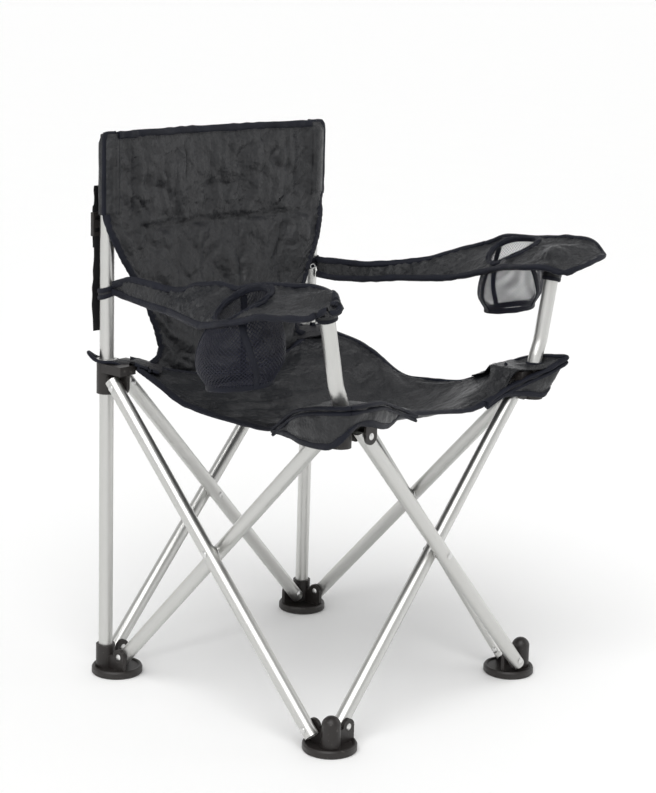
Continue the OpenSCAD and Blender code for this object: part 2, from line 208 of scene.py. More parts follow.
def thread(name, colour):
    """Twisted yarn: its colour and gloss change from fibre to fibre."""
    n = Nodes(name)
    n.set(Base_Color=n.mix(n.noise(900.0), shade(colour, 0.6), shade(colour, 1.4)),
          Roughness=n.remap(n.noise(400.0), 0.3, 0.5), Sheen_Weight=0.02, Specular_IOR_Level=0.3)
    return n.material


def moulded(name, colour, rough):
    """Moulded plastic: fine spark texture, uneven gloss and light scuffs."""
    n = Nodes(name)
    cloud = n.noise(35.0, 4.0)
    scuff = n.math("GREATER_THAN", n.noise(210.0, 6.0), 0.66)
    base = n.mix(n.times(scuff, 0.25), n.mix(cloud, shade(colour, 0.8), shade(colour, 1.25)),
                 shade((0.16, 0.15, 0.14)))
    n.set(Base_Color=base, Normal=n.bump(n.noise(1400.0, 2.0), 0.12, 0.0003), Specular_IOR_Level=0.4,
          Roughness=n.plus(n.remap(cloud, rough - 0.08, rough + 0.08), n.times(scuff, 0.15)))
    return n.material


def brushed(name, colour, direction, rough):
    """Anodised aluminium with its grain drawn along direction, with faint handling marks."""
    n = Nodes(name)
    turn = Vector((0, 0, 1)).rotation_difference(Vector(direction).normalized()).inverted().to_euler()
    along = n.add("ShaderNodeMapping", Vector=n.place, Rotation=turn)
    drawn = n.add("ShaderNodeMapping", Vector=along.outputs[0], Scale=(1.0, 1.0, 0.02)).outputs[0]
    grain = n.noise(1500.0, 3.0, drawn)
    marks = n.math("GREATER_THAN", n.noise(160.0, 5.0, drawn), 0.69)
    tone = n.mix(grain, shade(colour, 0.93), shade(colour, 1.03))
    n.set(Base_Color=n.mix(n.times(marks, 0.2), tone, shade(colour, 0.7)), Metallic=1.0,
          Roughness=n.plus(n.remap(n.noise(18.0, 5.0), rough - 0.05, rough + 0.07), n.times(marks, 0.1)),
          Normal=n.bump(grain, 0.05, 0.0002))
    return n.material


fabric = woven("charcoal_fabric", (0.0095, 0.0100, 0.0116), 0.0011, 0.33, 0.0003)
lining = woven("dark_lining", (0.013, 0.012, 0.014), 0.0013, 0.55, 0.0004)
tape = ribbed("dark_binding", (0.006, 0.007, 0.013), 0.0012)
webbing = ribbed("black_webbing", (0.010, 0.010, 0.011), 0.0016)
sewing = thread("sewing_thread", (0.026, 0.027, 0.032))
net = thread("mesh_yarn", (0.009, 0.010, 0.022))
plastic = moulded("black_plastic", (0.017, 0.0145, 0.0135), 0.42)
rivets = brushed("rivet_aluminium", (0.70, 0.70, 0.69), (1, 0, 0), 0.38)
ALLOY = (0.60, 0.60, 0.582)


def tube_direction(node):
    """Along a straight tube: from the middle of its lowest points to the middle of its highest."""
    points = sorted((v.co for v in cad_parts[node].data.vertices), key=lambda p: p.z)
    count = max(8, len(points) // 20)
    return sum(points[-count:], Vector()) / count - sum(points[:count], Vector()) / count


def frame_material(name):
    """The finish of a CAD node that stays in sight, or None for one that a soft piece replaces."""
    if name.startswith(("foot_rivets", "hub_rivets", "cross_rivet", "eyelet")):
        return rivets
    if name.startswith(("foot", "slider", "front_hub", "buckle")):
        return plastic
    if name.startswith(("tube", "post", "arm_post")):
        return brushed("aluminium_" + name, ALLOY, tube_direction(name), 0.34)
    return None


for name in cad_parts:
    material = frame_material(name)
    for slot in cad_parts[name].material_slots if material else ():
        slot.material = material

# ---- camera, floor and light -----------------------------------------------------------------

CAMERA_AT = (-2.2168, -1.8851, 1.0987)     # its Y from the frame's middle
CAMERA_TURN = (40.2, -12.545, 1.716)       # yaw, pitch and roll, in degrees
LENS = 87.27
FLOOR_RADIUS = 150.0
WALL_TOP, CEILING_FROM = 0.12, 0.55        # heights on the sky's unit sphere between which it dims
CEILING = 0.45                             # the ceiling's light, as a share of the wall's
WINDOW_POWER, WINDOW_ANGLE = 2.1, 55
WINDOW_FROM = (-0.75, -0.35, 1.15)
FILL_POWER, FILL_SIZE = 10, (1.6, 2.2)
FILL_AT, FILL_AIM = (2.6, -1.6, 1.8), (0.0, 0.0, 0.4)


def put(name, data, facing_axis=None, toward=None, place=(0.0, 0.0, 0.0)):
    """A new object in the scene, at place, with one of its axes turned toward a direction."""
    made = bpy.data.objects.new(name, data)
    bpy.context.scene.collection.objects.link(made)
    made.location = place
    if toward is not None:
        made.rotation_euler = Vector(toward).to_track_quat(facing_axis, "Y").to_euler()
    return made


def make_camera():
    """Looks at the chair from its front right, a little above the armrests."""
    yaw, pitch, roll = (math.radians(a) for a in CAMERA_TURN)
    forward = Vector((math.cos(pitch) * math.cos(yaw), math.cos(pitch) * math.sin(yaw), math.sin(pitch)))
    right = Vector((math.sin(yaw), -math.cos(yaw), 0.0))
    up = right.cross(forward)
    side = right * math.cos(roll) + up * math.sin(roll)
    head = up * math.cos(roll) - right * math.sin(roll)
    data = bpy.data.cameras.new("camera")
    data.sensor_width = 36.0
    data.lens = LENS
    data.clip_start = 0.05
    camera = put("camera", data)
    camera.matrix_world = Matrix((side, head, -forward)).transposed().to_4x4()
    camera.location = Vector(CAMERA_AT) + Vector((0.0, centre_y, 0.0))
    bpy.context.scene.camera = camera


def make_floor():
    bpy.ops.mesh.primitive_circle_add(vertices=96, radius=FLOOR_RADIUS, fill_type="NGON")
    floor = bpy.context.object
    floor.name = "floor"
    n = Nodes("pale_floor")
    n.set(Base_Color=n.mix(n.noise(3.0), (0.965, 0.965, 0.962, 1), (0.98, 0.98, 0.976, 1)),
          Roughness=0.6, Specular_IOR_Level=0.3)
    floor.data.materials.append(n.material)


def make_world():
    """A white studio wall all round, under a dimmer ceiling."""
    world = bpy.data.worlds.new("studio")
    bpy.context.scene.world = world
    world.use_nodes = True
    tree = world.node_tree
    background = tree.nodes["Background"]
    kinds = ("TexCoord", "SeparateXYZ", "MapRange")
    coords, height, ramp = (tree.nodes.new("ShaderNode" + kind) for kind in kinds)
    ends = {"From Min": WALL_TOP, "From Max": CEILING_FROM, "To Min": 1.0, "To Max": CEILING}
    for key, value in ends.items():
        ramp.inputs[key].default_value = value
    tree.links.new(coords.outputs["Generated"], height.inputs[0])
    tree.links.new(height.outputs[2], ramp.inputs["Value"])
    tree.links.new(ramp.outputs[0], background.inputs["Strength"])
    background.inputs["Color"].default_value = (1.0, 1.0, 1.0, 1.0)


def make_light():
    """A wide soft window high at the right, and a weak fill from the other side."""
    window = bpy.data.lights.new("window", "SUN")
    window.energy = WINDOW_POWER
    window.angle = math.radians(WINDOW_ANGLE)
    put("window", window, "Z", WINDOW_FROM)
    fill = bpy.data.lights.new("fill", "AREA")
    fill.shape = "RECTANGLE"
    fill.size, fill.size_y = FILL_SIZE
    fill.energy = FILL_POWER
    put("fill", fill, "-Z", Vector(FILL_AIM) - Vector(FILL_AT), FILL_AT)


make_world()
make_camera()
make_floor()
make_light()
bpy.context.scene.view_settings.view_transform = "Standard"

# ---- cloth on a grid -------------------------------------------------------------------------


def smooth(t):
    t = np.clip(t, 0.0, 1.0)
    return t * t * (3 - 2 * t)


def unit(v):
    return v / np.maximum(np.linalg.norm(v, axis=-1, keepdims=True), 1e-12)


def circle(count, start=0.0):
    """Angles spaced evenly round a full turn, without the last, which is the first again."""
    return np.linspace(start, start + FULL_TURN, count + 1)[:-1]


def again(rows):
    """A closed line's points with the first repeated at the end."""
    return np.concatenate([rows, rows[:1]])


def run_length(path):
    """Distance along a path to each of its points."""
    return np.concatenate([[0.0], np.cumsum(np.linalg.norm(np.diff(path[:, :3], axis=0), axis=1))])


def read(at, knots, values, **how):
    """Every column of values, read at each position in at."""
    return np.stack([np.interp(at, knots, column, **how) for column in values.T], axis=-1)


def along_table(table, at):
    """Reads a table of (position, value, value, ...) rows at each position in at."""
    table = np.array(sorted(table), float)
    return [np.interp(at, table[:, 0], table[:, k]) for k in range(1, table.shape[1])]


def eased_table(table, at, reach):
    """Reads a table of (position, value, ...) rows along curves that ease over its corners."""
    reads = [along_table(table, at + shift) for shift in np.linspace(-reach, reach, 9)]
    return [sum(column) / len(reads) for column in zip(*reads)]


def grid_normals(points, direction=None, closed=False):
    """Smooth normals of a grid, turned so that on the whole they agree with direction. A closed
    grid's last column joins its first."""
    wide = np.concatenate([points[:, -1:], points, points[:, :1]], axis=1) if closed else points
    n = np.cross(np.gradient(wide, axis=1), np.gradient(wide, axis=0))
    n = unit(n[:, 1:-1] if closed else n)
    return n if (n * direction).sum() >= 0 else -n


def grid_uv(points):
    """Distance along the columns and the rows, in metres, so that a weave keeps its scale."""
    across = np.linalg.norm(np.diff(points, axis=1), axis=2).mean(0)
    down = np.linalg.norm(np.diff(points, axis=0), axis=2).mean(1)
    u, v = (np.concatenate([[0.0], np.cumsum(step)]) for step in (across, down))
    return np.stack(np.meshgrid(u, v), axis=2)


def grid_faces(rows, columns, keep=None, closed=False):
    """The cells of a grid as faces, or those of them that keep says."""
    faces = []
    for i in range(rows - 1):
        for j in range(columns if closed else columns - 1):
            if keep is None or keep[i, j]:
                k = (j + 1) % columns
                faces.append([i * columns + j, i * columns + k, (i + 1) * columns + k, (i + 1) * columns + j])
    return faces


def field(points, scale, seed=0.0):
    """Smooth noise from -1 to 1 at every point of a grid."""
    flat = points.reshape(-1, 3)
    values = [noise.noise(Vector((x * scale + seed, y * scale, z * scale))) for x, y, z in flat]
    return np.array(values).reshape(points.shape[:-1])


def creases(points, scale, seed):
    """Height of crumpled cloth from 0 to 1: rounded fields with sharper folds between them."""
    wave = np.abs(field(points, scale, seed)) + 0.5 * np.abs(field(points, scale * 2.3, seed + 4.0))
    return np.clip(wave * 1.6, 0.0, 1.0) ** 0.6


def rounded_path(points, count, reach=0.010, reads=7):
    """count points spaced evenly along a smooth open curve through the given ones."""
    points = np.asarray(points, float)
    run = run_length(points)
    at = np.linspace(0, run[-1], count)
    ease = np.clip(np.minimum(at, run[-1] - at) / reach, 0, 1)
    return sum(read(at + shift * ease, run, points) for shift in np.linspace(-reach, reach, reads)) / reads


def drape(points, pins, frames, loose, weight, most):
    """Lets a grid of cloth settle by simulation. pins holds each point's grip, from 0 to 1, and
    loose is how much the cloth is cut larger than the grid. No point moves further than most."""
    scene = bpy.context.scene
    index = np.arange(points[..., 0].size).reshape(points.shape[:2])
    quads = np.stack([index[:-1, :-1], index[:-1, 1:], index[1:, 1:], index[1:, :-1]], axis=2)
    mesh = bpy.data.meshes.new("cloth")
    mesh.from_pydata(points.reshape(-1, 3).tolist(), [], quads.reshape(-1, 4).tolist())
    cloth = put("cloth", mesh)
    group = cloth.vertex_groups.new(name="pins")
    for i, grip in enumerate(pins.ravel()):
        group.add([i], float(grip), "REPLACE")
    settings = cloth.modifiers.new("Cloth", "CLOTH").settings
    for name, value in (("quality", 6), ("mass", 0.15), ("tension_stiffness", 12.0),
                        ("compression_stiffness", 12.0), ("shear_stiffness", 6.0), ("bending_stiffness", 0.6),
                        ("air_damping", 2.0), ("vertex_group_mass", "pins"), ("pin_stiffness", 1.0),
                        ("shrink_min", -loose)):
        setattr(settings, name, value)
    settings.effector_weights.gravity = weight
    for frame_number in range(1, frames + 1):
        scene.frame_set(frame_number)
    shown = cloth.evaluated_get(bpy.context.evaluated_depsgraph_get())
    settled = np.empty(points.size, np.float32)
    shown.data.vertices.foreach_get("co", settled)
    scene.frame_set(1)
    bpy.data.objects.remove(cloth)
    move = settled.reshape(points.shape).astype(float) - points
    length = np.maximum(np.linalg.norm(move, axis=2, keepdims=True), 1e-12)
    return points + move / length * most * np.tanh(length / most)


CLOTHS = [fabric, tape, sewing, lining]
CLOTH, TAPE, THREAD, LINING, GROMMET = range(5)
STITCH_RISE = 0.0003           # how far a stitch's middle lies above its path


class Builder:
    """Collects the surfaces of one piece: faces with their material, UV map and normals."""

    def __init__(self):
        self.points, self.faces, self.slots, self.uvs, self.normals = ([] for _ in range(5))

    def place(self, points):
        """Adds points and gives the number of the first."""
        first = len(self.points)
        self.points += np.asarray(points, float).reshape(-1, 3).tolist()
        return first

    def face(self, first, faces, normals, uv, slot):
        """Faces given by point numbers, each wound to agree with its points' normals."""
        normals = np.asarray(normals, float).reshape(-1, 3)
        uv = np.asarray(uv, float).reshape(-1, 2)
        p = np.array(self.points[first:first + len(normals)])
        for size in sorted({len(face) for face in faces}):
            group = np.array([face for face in faces if len(face) == size])
            a, b, c, d = (p[group[:, k * size // 4]] for k in range(4))
            turn = np.cross(c - a, d - b)
            wrong = (turn * normals[group].sum(1)).sum(1) < 0
            group[wrong] = group[wrong][:, ::-1]
            self.faces += (group + first).tolist()
            self.uvs += uv[group].reshape(-1, 2).tolist()
            self.normals += normals[group].reshape(-1, 3).tolist()
            self.slots += [slot] * len(group)

    def cloth(self, points, normals, uv, faces, thick, under=LINING, slot=CLOTH):
        """A closed sheet: the given faces, their copy at thick behind them, and the rim between."""
        used = np.array(sorted({i for face in faces for i in face}))
        number = {i: k for k, i in enumerate(used.tolist())}
        faces = [[number[i] for i in face] for face in faces]
        p, n, uv = points.reshape(-1, 3)[used], normals.reshape(-1, 3)[used], uv.reshape(-1, 2)[used]
        depth = np.broadcast_to(np.asarray(thick, float), points.shape[:-1]).reshape(-1, 1)[used]
        count = len(used)
        first = self.place(p)
        self.face(first, faces, n, uv, slot)
        self.face(self.place(p - n * depth), faces, -n, uv, under)
        edges = {}
        for face in faces:
            for a, b in zip(face, face[1:] + face[:1]):
                key = (min(a, b), max(a, b))
                edges[key] = None if key in edges else face
        for (a, b), face in edges.items():
            if face is None:
                continue
            out = (p[a] + p[b]) / 2 - p[face].mean(0)
            out = unit(out - (out @ n[a]) * n[a])
            rim = [a, b, b + count, a + count]
            corner = np.array([self.points[first + k] for k in rim])
            if np.cross(corner[2] - corner[0], corner[3] - corner[1]) @ out < 0:
                rim = rim[::-1]
            self.faces.append([first + k for k in rim])
            self.uvs += [uv[k % count].tolist() for k in rim]
            self.normals += [out.tolist()] * 4
            self.slots.append(slot)

    def sheet(self, points, normals, thick, closed=False, **slots):
        """Cloth over a whole grid."""
        faces = grid_faces(*points.shape[:2], closed=closed)
        self.cloth(points, np.broadcast_to(normals, points.shape), grid_uv(points), faces, thick, **slots)

    def tape(self, path, outward, face, width, thick, slot=TAPE, inset=0.35, closed=False, sides=10):
        """A folded tape over an edge. outward points away from the cloth and face out of it."""
        path = np.asarray(path, float)
        ahead = np.roll(path, -1, axis=0) - np.roll(path, 1, axis=0)
        if not closed:
            ahead[0], ahead[-1] = path[1] - path[0], path[-1] - path[-2]
        ahead = unit(ahead)
        up = unit(face - (face * ahead).sum(1, keepdims=True) * ahead)
        side = np.cross(up, ahead)
        side *= np.sign((side * outward).sum(1, keepdims=True) + 1e-9)
        centre = path - side * width * inset
        run = run_length(path)
        wave = 1.0 + 0.07 * np.sin(run * 130 + 3 * np.sin(run * 41))[:, None]
        rows, ns = [], []
        for a in circle(sides):
            c, s = math.cos(a), math.sin(a)
            round_c = math.copysign(abs(c) ** 0.6, c)
            round_s = math.copysign(abs(s) ** 0.8, s)
            rows.append(centre + side * round_c * width / 2 * wave + up * round_s * thick / 2 * wave)
            ns.append(side * c * thick / width + up * s)
        points, normals = np.stack(rows, 1), unit(np.stack(ns, 1))
        uv = np.stack(np.meshgrid(np.arange(sides) / sides * 2 * (width + thick), run), axis=2)
        first = self.place(points)
        self.face(first, grid_faces(*points.shape[:2], closed=True), normals, uv, slot)
        last = (len(run) - 1) * sides
        if closed:
            uv[0, :, 1] = run[-1] * (1 + 1 / len(run))
            join = [[last + k, last + (k + 1) % sides, (k + 1) % sides, k] for k in range(sides)]
            self.face(first, join, normals, uv, slot)
        else:
            for end, at, way in ((0, 0, -1.0), (-1, last, 1.0)):
                cap = ahead[end] * way * np.ones((sides, 1))
                self.face(first + at, [list(range(sides))], cap, uv[end], slot)

    def stitches(self, path, face, lift=0.0003, slot=THREAD, pitch=0.0042, length=0.0029, radius=0.00042):
        """A row of stitches along a path, which lies lift above the cloth with normals face."""
        face = np.asarray(face, float)
        path = np.asarray(path, float) + face * lift
        run = run_length(path)
        at = np.arange(pitch / 2, run[-1] - pitch / 2, pitch)
        here, there, ups = read(at, run, path), read(at + 0.0005, run, path), read(at, run, face)
        faces = []
        for k in range(5):
            m = (k + 1) % 5
            faces += [[0, 2 + m, 2 + k], [2 + k, 2 + m, 7 + m, 7 + k], [1, 7 + k, 7 + m]]
        for middle, ahead, up in zip(here, unit(there - here), ups):
            up = unit(up - (up @ ahead) * ahead)
            side = np.cross(ahead, up)
            middle = middle + up * STITCH_RISE
            points = [middle - ahead * length / 2, middle + ahead * length / 2]
            normals = [-ahead, ahead]
            for shift in (-0.28, 0.28):
                for a in circle(5):
                    normals.append(side * math.cos(a) + up * math.sin(a))
                    points.append(middle + ahead * shift * length + normals[-1] * radius)
            self.face(self.place(points), faces, normals, np.zeros((12, 2)), slot)

    def make(self, name, materials=CLOTHS):
        """The finished mesh object, moved from the frame's middle to the row frame."""
        mesh = bpy.data.meshes.new(name)
        mesh.from_pydata([(x, y + centre_y, z) for x, y, z in self.points], [], self.faces)
        for material in materials:
            mesh.materials.append(material)
        mesh.polygons.foreach_set("material_index", self.slots)
        mesh.polygons.foreach_set("use_smooth", [True] * len(self.faces))
        layer = mesh.uv_layers.new(name="UVMap")
        layer.data.foreach_set("uv", np.array(self.uvs, np.float32).ravel())
        mesh.normals_split_custom_set(self.normals)
        mesh.update()
        return put(name, mesh)


def settle(piece, body, node):
    """The piece stands for a CAD node, which it hides, and rides on its body."""
    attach(piece, body)
    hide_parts(node)

# ---- seat ------------------------------------------------------------------------------------

# Heights of the seat's edges: at each x along the front, and at each y along both sides
FRONT_EDGE = [(-0.2, 0.505), (-0.16, 0.498), (-0.095, 0.483), (-0.054, 0.471), (0.0, 0.464), (0.06, 0.456),
              (0.094, 0.4535), (0.123, 0.458), (0.166, 0.474), (0.2, 0.502)]
REAR_EDGE = [(-0.2, 0.504), (-0.15, 0.484), (-0.08, 0.464), (0.0, 0.454), (0.08, 0.46), (0.15, 0.486),
             (0.2, 0.508)]
RIGHT_EDGE = [(-0.2, 0.505), (-0.15, 0.478), (-0.091, 0.45), (-0.047, 0.45), (0.027, 0.452), (0.089, 0.459),
              (0.14, 0.481), (0.2, 0.504)]
LEFT_EDGE = [(-0.2, 0.502), (-0.149, 0.479), (-0.102, 0.459), (-0.024, 0.452), (0.01, 0.45), (0.042, 0.462),
             (0.071, 0.48), (0.113, 0.495), (0.2, 0.508)]
SEAT_HALF = 0.223
SEAT_RISE = 0.0275           # how far the middle lies above what the edges alone would give
SEAT_CELLS = 86
SEAT_CUT = 0.402             # how far |x| + |y| may reach before a corner is cut off


def edge_z(table, at):
    return eased_table(table, at, 0.014)[0]


def seat_z(x, y):
    """Height of the seat: its four edges blended, with the middle raised by SEAT_RISE."""
    s, t = np.clip(x / SEAT_HALF, -1, 1), np.clip(y / SEAT_HALF, -1, 1)
    a, b = (s + 1) / 2, (t + 1) / 2
    across = (1 - a) * edge_z(RIGHT_EDGE, y) + a * edge_z(LEFT_EDGE, y)
    along = (1 - b) * edge_z(FRONT_EDGE, x) + b * edge_z(REAR_EDGE, x)
    corners = (1 - b) * ((1 - a) * 0.505 + a * 0.502) + b * ((1 - a) * 0.504 + a * 0.508)
    return across + along - corners + SEAT_RISE * (1 - s * s) * (1 - t * t)


def seat_points():
    line = np.linspace(-1, 1, SEAT_CELLS + 1)
    s, t = np.meshgrid(line, line)
    x = SEAT_HALF * s
    rear = 0.1925 + 0.0305 * smooth((np.abs(s) - 0.78) / 0.22)
    y = np.where(t > 0, t * rear, t * SEAT_HALF)
    over = np.maximum(np.abs(x) + np.abs(y) - SEAT_CUT, 0.0)
    x, y = x - np.sign(x) * over / 2, y - np.sign(y) * over / 2
    return np.stack([x, y, seat_z(x, y)], axis=2)


def quarter_faces(n):
    """The cells of an n by n grid by quarter, with those on its diagonals cut in two."""
    quarters = {"right": [], "left": [], "front": [], "back": []}
    c = n / 2
    w = n + 1
    for i, j in np.ndindex(n, n):
        k = [i * w + j, i * w + j + 1, (i + 1) * w + j + 1, (i + 1) * w + j]
        faces = [k]
        if i == j:
            faces = [[k[0], k[1], k[2]], [k[0], k[2], k[3]]]
        elif i + j == n - 1:
            faces = [[k[0], k[1], k[3]], [k[1], k[2], k[3]]]
        for face in faces:
            row = sum(f // w for f in face) / len(face) - c
            column = sum(f % w for f in face) / len(face) - c
            beside, ahead = ("right", "left"), ("front", "back")
            name = beside[column >= 0] if abs(column) > abs(row) else ahead[row >= 0]
            quarters[name].append(face)
    return quarters


def make_seat():
    """The sling in four quarters that share one draped surface."""
    flat = seat_points()
    ring = np.minimum(*np.indices(flat.shape[:2]))
    ring = np.minimum(ring, ring[::-1, ::-1])
    grip = np.where(ring < 2, 1.0, 0.012)
    points = drape(flat, grip, frames=26, loose=0.012, weight=0.35, most=0.010)
    slack = smooth(ring / 9.0)[..., None]
    points = points + UP * slack * (0.0080 * creases(points, 9.0, 12.0) - 0.0035)[..., None]
    n = grid_normals(points, UP)
    faces = quarter_faces(SEAT_CELLS)
    every = slice(None)
    for name, edge, inner, out, axis in (("right", (every, 0), (every, 3), -1, 1),
                                         ("left", (every, -1), (every, -4), 1, 1),
                                         ("front", (0, every), (3, every), -1, 0),
                                         ("back", (-1, every), (-4, every), 1, 0)):
        b = Builder()
        b.cloth(points, n, grid_uv(points), faces[name], SEAT_THICK, CLOTH)
        outward = np.zeros(3)
        outward[1 - axis] = out
        b.tape(points[edge] - n[edge] * SEAT_THICK / 2, outward, n[edge], *SEAT_TAPE)
        b.stitches(points[inner][3:-3], n[inner][3:-3])
        piece = b.make("seat_sling_" + name)
        settle(piece, "seat_%s_quarter" % name, "seat_" + name)
        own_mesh(piece)


make_seat()

# ---- backrest --------------------------------------------------------------------------------

# Height, half width, and how far the front face lies behind the frame's middle at its edge
BACK_EDGE = [
    (0.850, 0.2475, 0.229), (0.728, 0.2475, 0.229), (0.705, 0.245, 0.222), (0.683, 0.237, 0.215),
    (0.660, 0.227, 0.210), (0.638, 0.214, 0.206), (0.612, 0.196, 0.203), (0.582, 0.182, 0.200),
    (0.550, 0.168, 0.198), (0.519, 0.160, 0.196), (0.498, 0.165, 0.195), (0.485, 0.174, 0.1945),
    (0.466, 0.186, 0.194)]
BOW = [(0.850, 0.024), (0.728, 0.024), (0.660, 0.016), (0.604, 0.008), (0.540, 0.005), (0.466, 0.004)]
PILLOW_X = 0.186             # the vertical seams beside the padded part
PILLOW_LOW, PILLOW_HIGH = 0.703, 0.838
FAR_EDGE = 0.0070            # how much wider the left sleeve's loose edge stands
SLEEVE_CELLS = 6
PANEL_CELLS = 100
TOP_ROWS, MID_ROWS, LOW_ROWS = 27, 28, 31


def back_front():
    """The front face of the backrest with the front of both sleeves, before it is draped."""
    z = np.concatenate([np.linspace(back_top - 0.002, sleeve_low, TOP_ROWS + 1),
                        np.linspace(sleeve_low, fold_z, MID_ROWS + 1)[1:],
                        np.linspace(fold_z, back_low, LOW_ROWS + 1)[1:]])
    half, edge_y = along_table(BACK_EDGE, z)
    bow, = along_table(BOW, z)
    seam = panel_half + 0.0003
    inner = np.linspace(-1.0, 1.0, PANEL_CELLS + 1) * seam
    stretch = np.linspace(seam, half[0], SLEEVE_CELLS + 1)[1:]
    rows = []
    for height, wide, depth, swell in zip(z, half, edge_y, bow):
        x = np.concatenate([-stretch[::-1], inner, stretch]) * wide / half[0]
        u = np.clip(np.abs(x) / (seam * wide / half[0]), 0.0, 1.0)
        y = depth + swell * np.cos(math.pi / 2 * u)
        beside = smooth((height - 0.700) / 0.035)
        over = smooth((np.abs(x) - 0.205) / 0.03) * beside
        wrap = post_y - tube_r - 0.0026 + 0.0085 * smooth((np.abs(x) - post_x) / 0.0125) ** 2
        y = y * (1 - over) + wrap * over
        y = y + (post_y - 0.003 - y) * smooth((height - post_high.z) / 0.012) * over * 0.8
        drop = smooth((0.53 - height) / (0.53 - back_low))
        x = x + FAR_EDGE * smooth((x - 0.236) / 0.0115) * beside
        rows.append(np.stack([x, y, height + (edge_z(REAR_EDGE, x) - 0.005 - back_low) * drop], axis=1))
    return np.stack(rows)


def back_pins(points):
    """How firmly the back's front face is held: hard at the posts and its rim, softly at the seams."""
    x, z = np.abs(points[..., 0]), points[..., 2]
    column = np.arange(x.shape[1])
    grip = np.full(x.shape, 0.02)
    grip = np.maximum(grip, 0.35 * np.exp(-((x - PILLOW_X) / 0.006) ** 2) * (z > PILLOW_LOW))
    grip = np.maximum(grip, 0.4 * np.exp(-((z - PILLOW_LOW) / 0.005) ** 2) * (x < 0.2))
    grip = np.where((x > 0.212) & (z > 0.722), 1.0, grip)
    grip[:2] = 1.0
    grip[-3:] = 1.0
    return np.maximum(grip, 0.9 * smooth(1 - np.minimum(column, column[::-1]) / 3.0))


def pad_fill(points):
    """How full the head pad is at each point, from 0 outside its seams to 1, and how near its seams."""
    middle, half = (PILLOW_LOW + PILLOW_HIGH) / 2, (PILLOW_HIGH - PILLOW_LOW) / 2
    s = np.clip(np.abs(points[..., 0]) / PILLOW_X, 0, 1)
    t = np.clip(np.abs(points[..., 2] - middle) / half, 0, 1)
    return (1 - s ** 6) * (1 - t ** 4), np.maximum(s ** 8, t ** 8) * (s < 1) * (t < 1)


def puff(points):
    """How far the head pad's filling lifts the cloth between its seams, which pucker and sink."""
    x, z = np.abs(points[..., 0]), points[..., 2]
    fill, near = pad_fill(points)
    ripple = field(points, 55.0, 3.1)
    lift = 0.0075 * fill * (1 + 0.25 * ripple) + 0.0012 * near * ripple
    groove = 0.0016 * np.exp(-((x - PILLOW_X) / 0.0022) ** 2) * (z > PILLOW_LOW)
    groove += 0.0022 * np.exp(-((z - PILLOW_LOW) / 0.0025) ** 2) * (x < PILLOW_X + 0.02)
    return lift - groove


def crumple(points):
    """How far loose folds lift the cloth: strongest low in the middle, and never behind the posts."""
    x, z = np.abs(points[..., 0]), points[..., 2]
    half = along_table(BACK_EDGE, z)[0]
    room = smooth((half - x) / 0.030) * smooth((0.706 - z) / 0.02) * smooth((z - 0.455) / 0.03)
    slant = points @ np.array([[0.86, 0.0, 0.30], [0.0, 1.0, 0.0], [-0.30, 0.0, 0.55]])
    lift = 0.0135 * creases(slant, 12.0, 2.0) + 0.0045 * creases(slant, 29.0, 8.0)
    head = 0.0060 * creases(points * [0.7, 1.0, 1.3], 17.0, 6.0) * (z > 0.706) * smooth((0.21 - x) / 0.02)
    push = lift * room + head - 0.0055 * room
    over_post = smooth((x - 0.205) / 0.012) * smooth((z - 0.685) / 0.012)
    return push + over_post * np.maximum(0.0010 - push, 0.0)


def make_back():
    """The backrest's three panels, which share one draped surface, and its two sleeves."""
    flat = back_front()
    front = drape(flat, back_pins(flat), frames=26, loose=0.022, weight=0.5, most=0.011)
    for lift in (crumple, puff):
        front = front + grid_normals(front, AHEAD) * lift(front)[..., None]
    n = grid_normals(front, AHEAD)
    thick = BACK_THICK + 0.009 * pad_fill(front)[0]
    uv = grid_uv(front)
    rows, columns = front.shape[:2]
    row, column = np.indices((rows - 1, columns - 1))
    inside = (column >= SLEEVE_CELLS) & (column < SLEEVE_CELLS + PANEL_CELLS)
    crease = TOP_ROWS + MID_ROWS
    pieces = {}
    for name, first, last in (("back_upholstery", 0, TOP_ROWS), ("back_fold_upper", TOP_ROWS, crease),
                              ("back_fold_lower", crease, rows - 1)):
        b = Builder()
        keep = (row >= first) & (row < last) & (inside | (first > 0))
        b.cloth(front, n, uv, grid_faces(rows, columns, keep), thick)
        if first == 0:
            sew_head(b, front, n, thick)
        else:
            sew_sides(b, front, n, thick, slice(first, last + 1))
        pieces[name] = b.make(name)
    for name, side in SIDES:
        pieces["sleeve_" + name] = make_sleeve(name, side, front)
    return pieces


def sew_head(b, front, n, thick):
    """The binding over the top edge, and the seams round the head pad."""
    top = 0, slice(SLEEVE_CELLS, SLEEVE_CELLS + PANEL_CELLS + 1)
    middle = front[top] - n[top] * thick[top][:, None] / 2
    b.tape(middle + UP * 0.0022, UP, n[top], *HEAD_TAPE)
    b.stitches(front[2, top[1]], n[2, top[1]], 0.0012)
    rows = range(1, TOP_ROWS + 1)
    for seam in (-PILLOW_X, PILLOW_X):
        for x in (seam - 0.0016, seam + 0.0016):
            path, face = (np.concatenate([read([x], front[i, :, 0], grid[i]) for i in rows])
                          for grid in (front, n))
            b.stitches(path, face, 0.0004)
    at = int(np.argmin(np.abs(front[:, front.shape[1] // 2, 2] - PILLOW_LOW + 0.004)))
    if at <= TOP_ROWS:
        b.stitches(front[at, 10:-10], n[at, 10:-10], 0.0002)


def sew_sides(b, front, n, thick, rows):
    """The bindings down both sides of the lower backrest, with their stitching."""
    for side, edge, inner in ((-1.0, 0, 2), (1.0, -1, -3)):
        middle = front[rows, edge] - n[rows, edge] * thick[rows, edge, None] / 2
        b.tape(middle, np.array([side, 0.0, 0.0]), n[rows, edge], *BACK_TAPE)
        b.stitches(front[rows, inner], n[rows, inner], 0.0008)


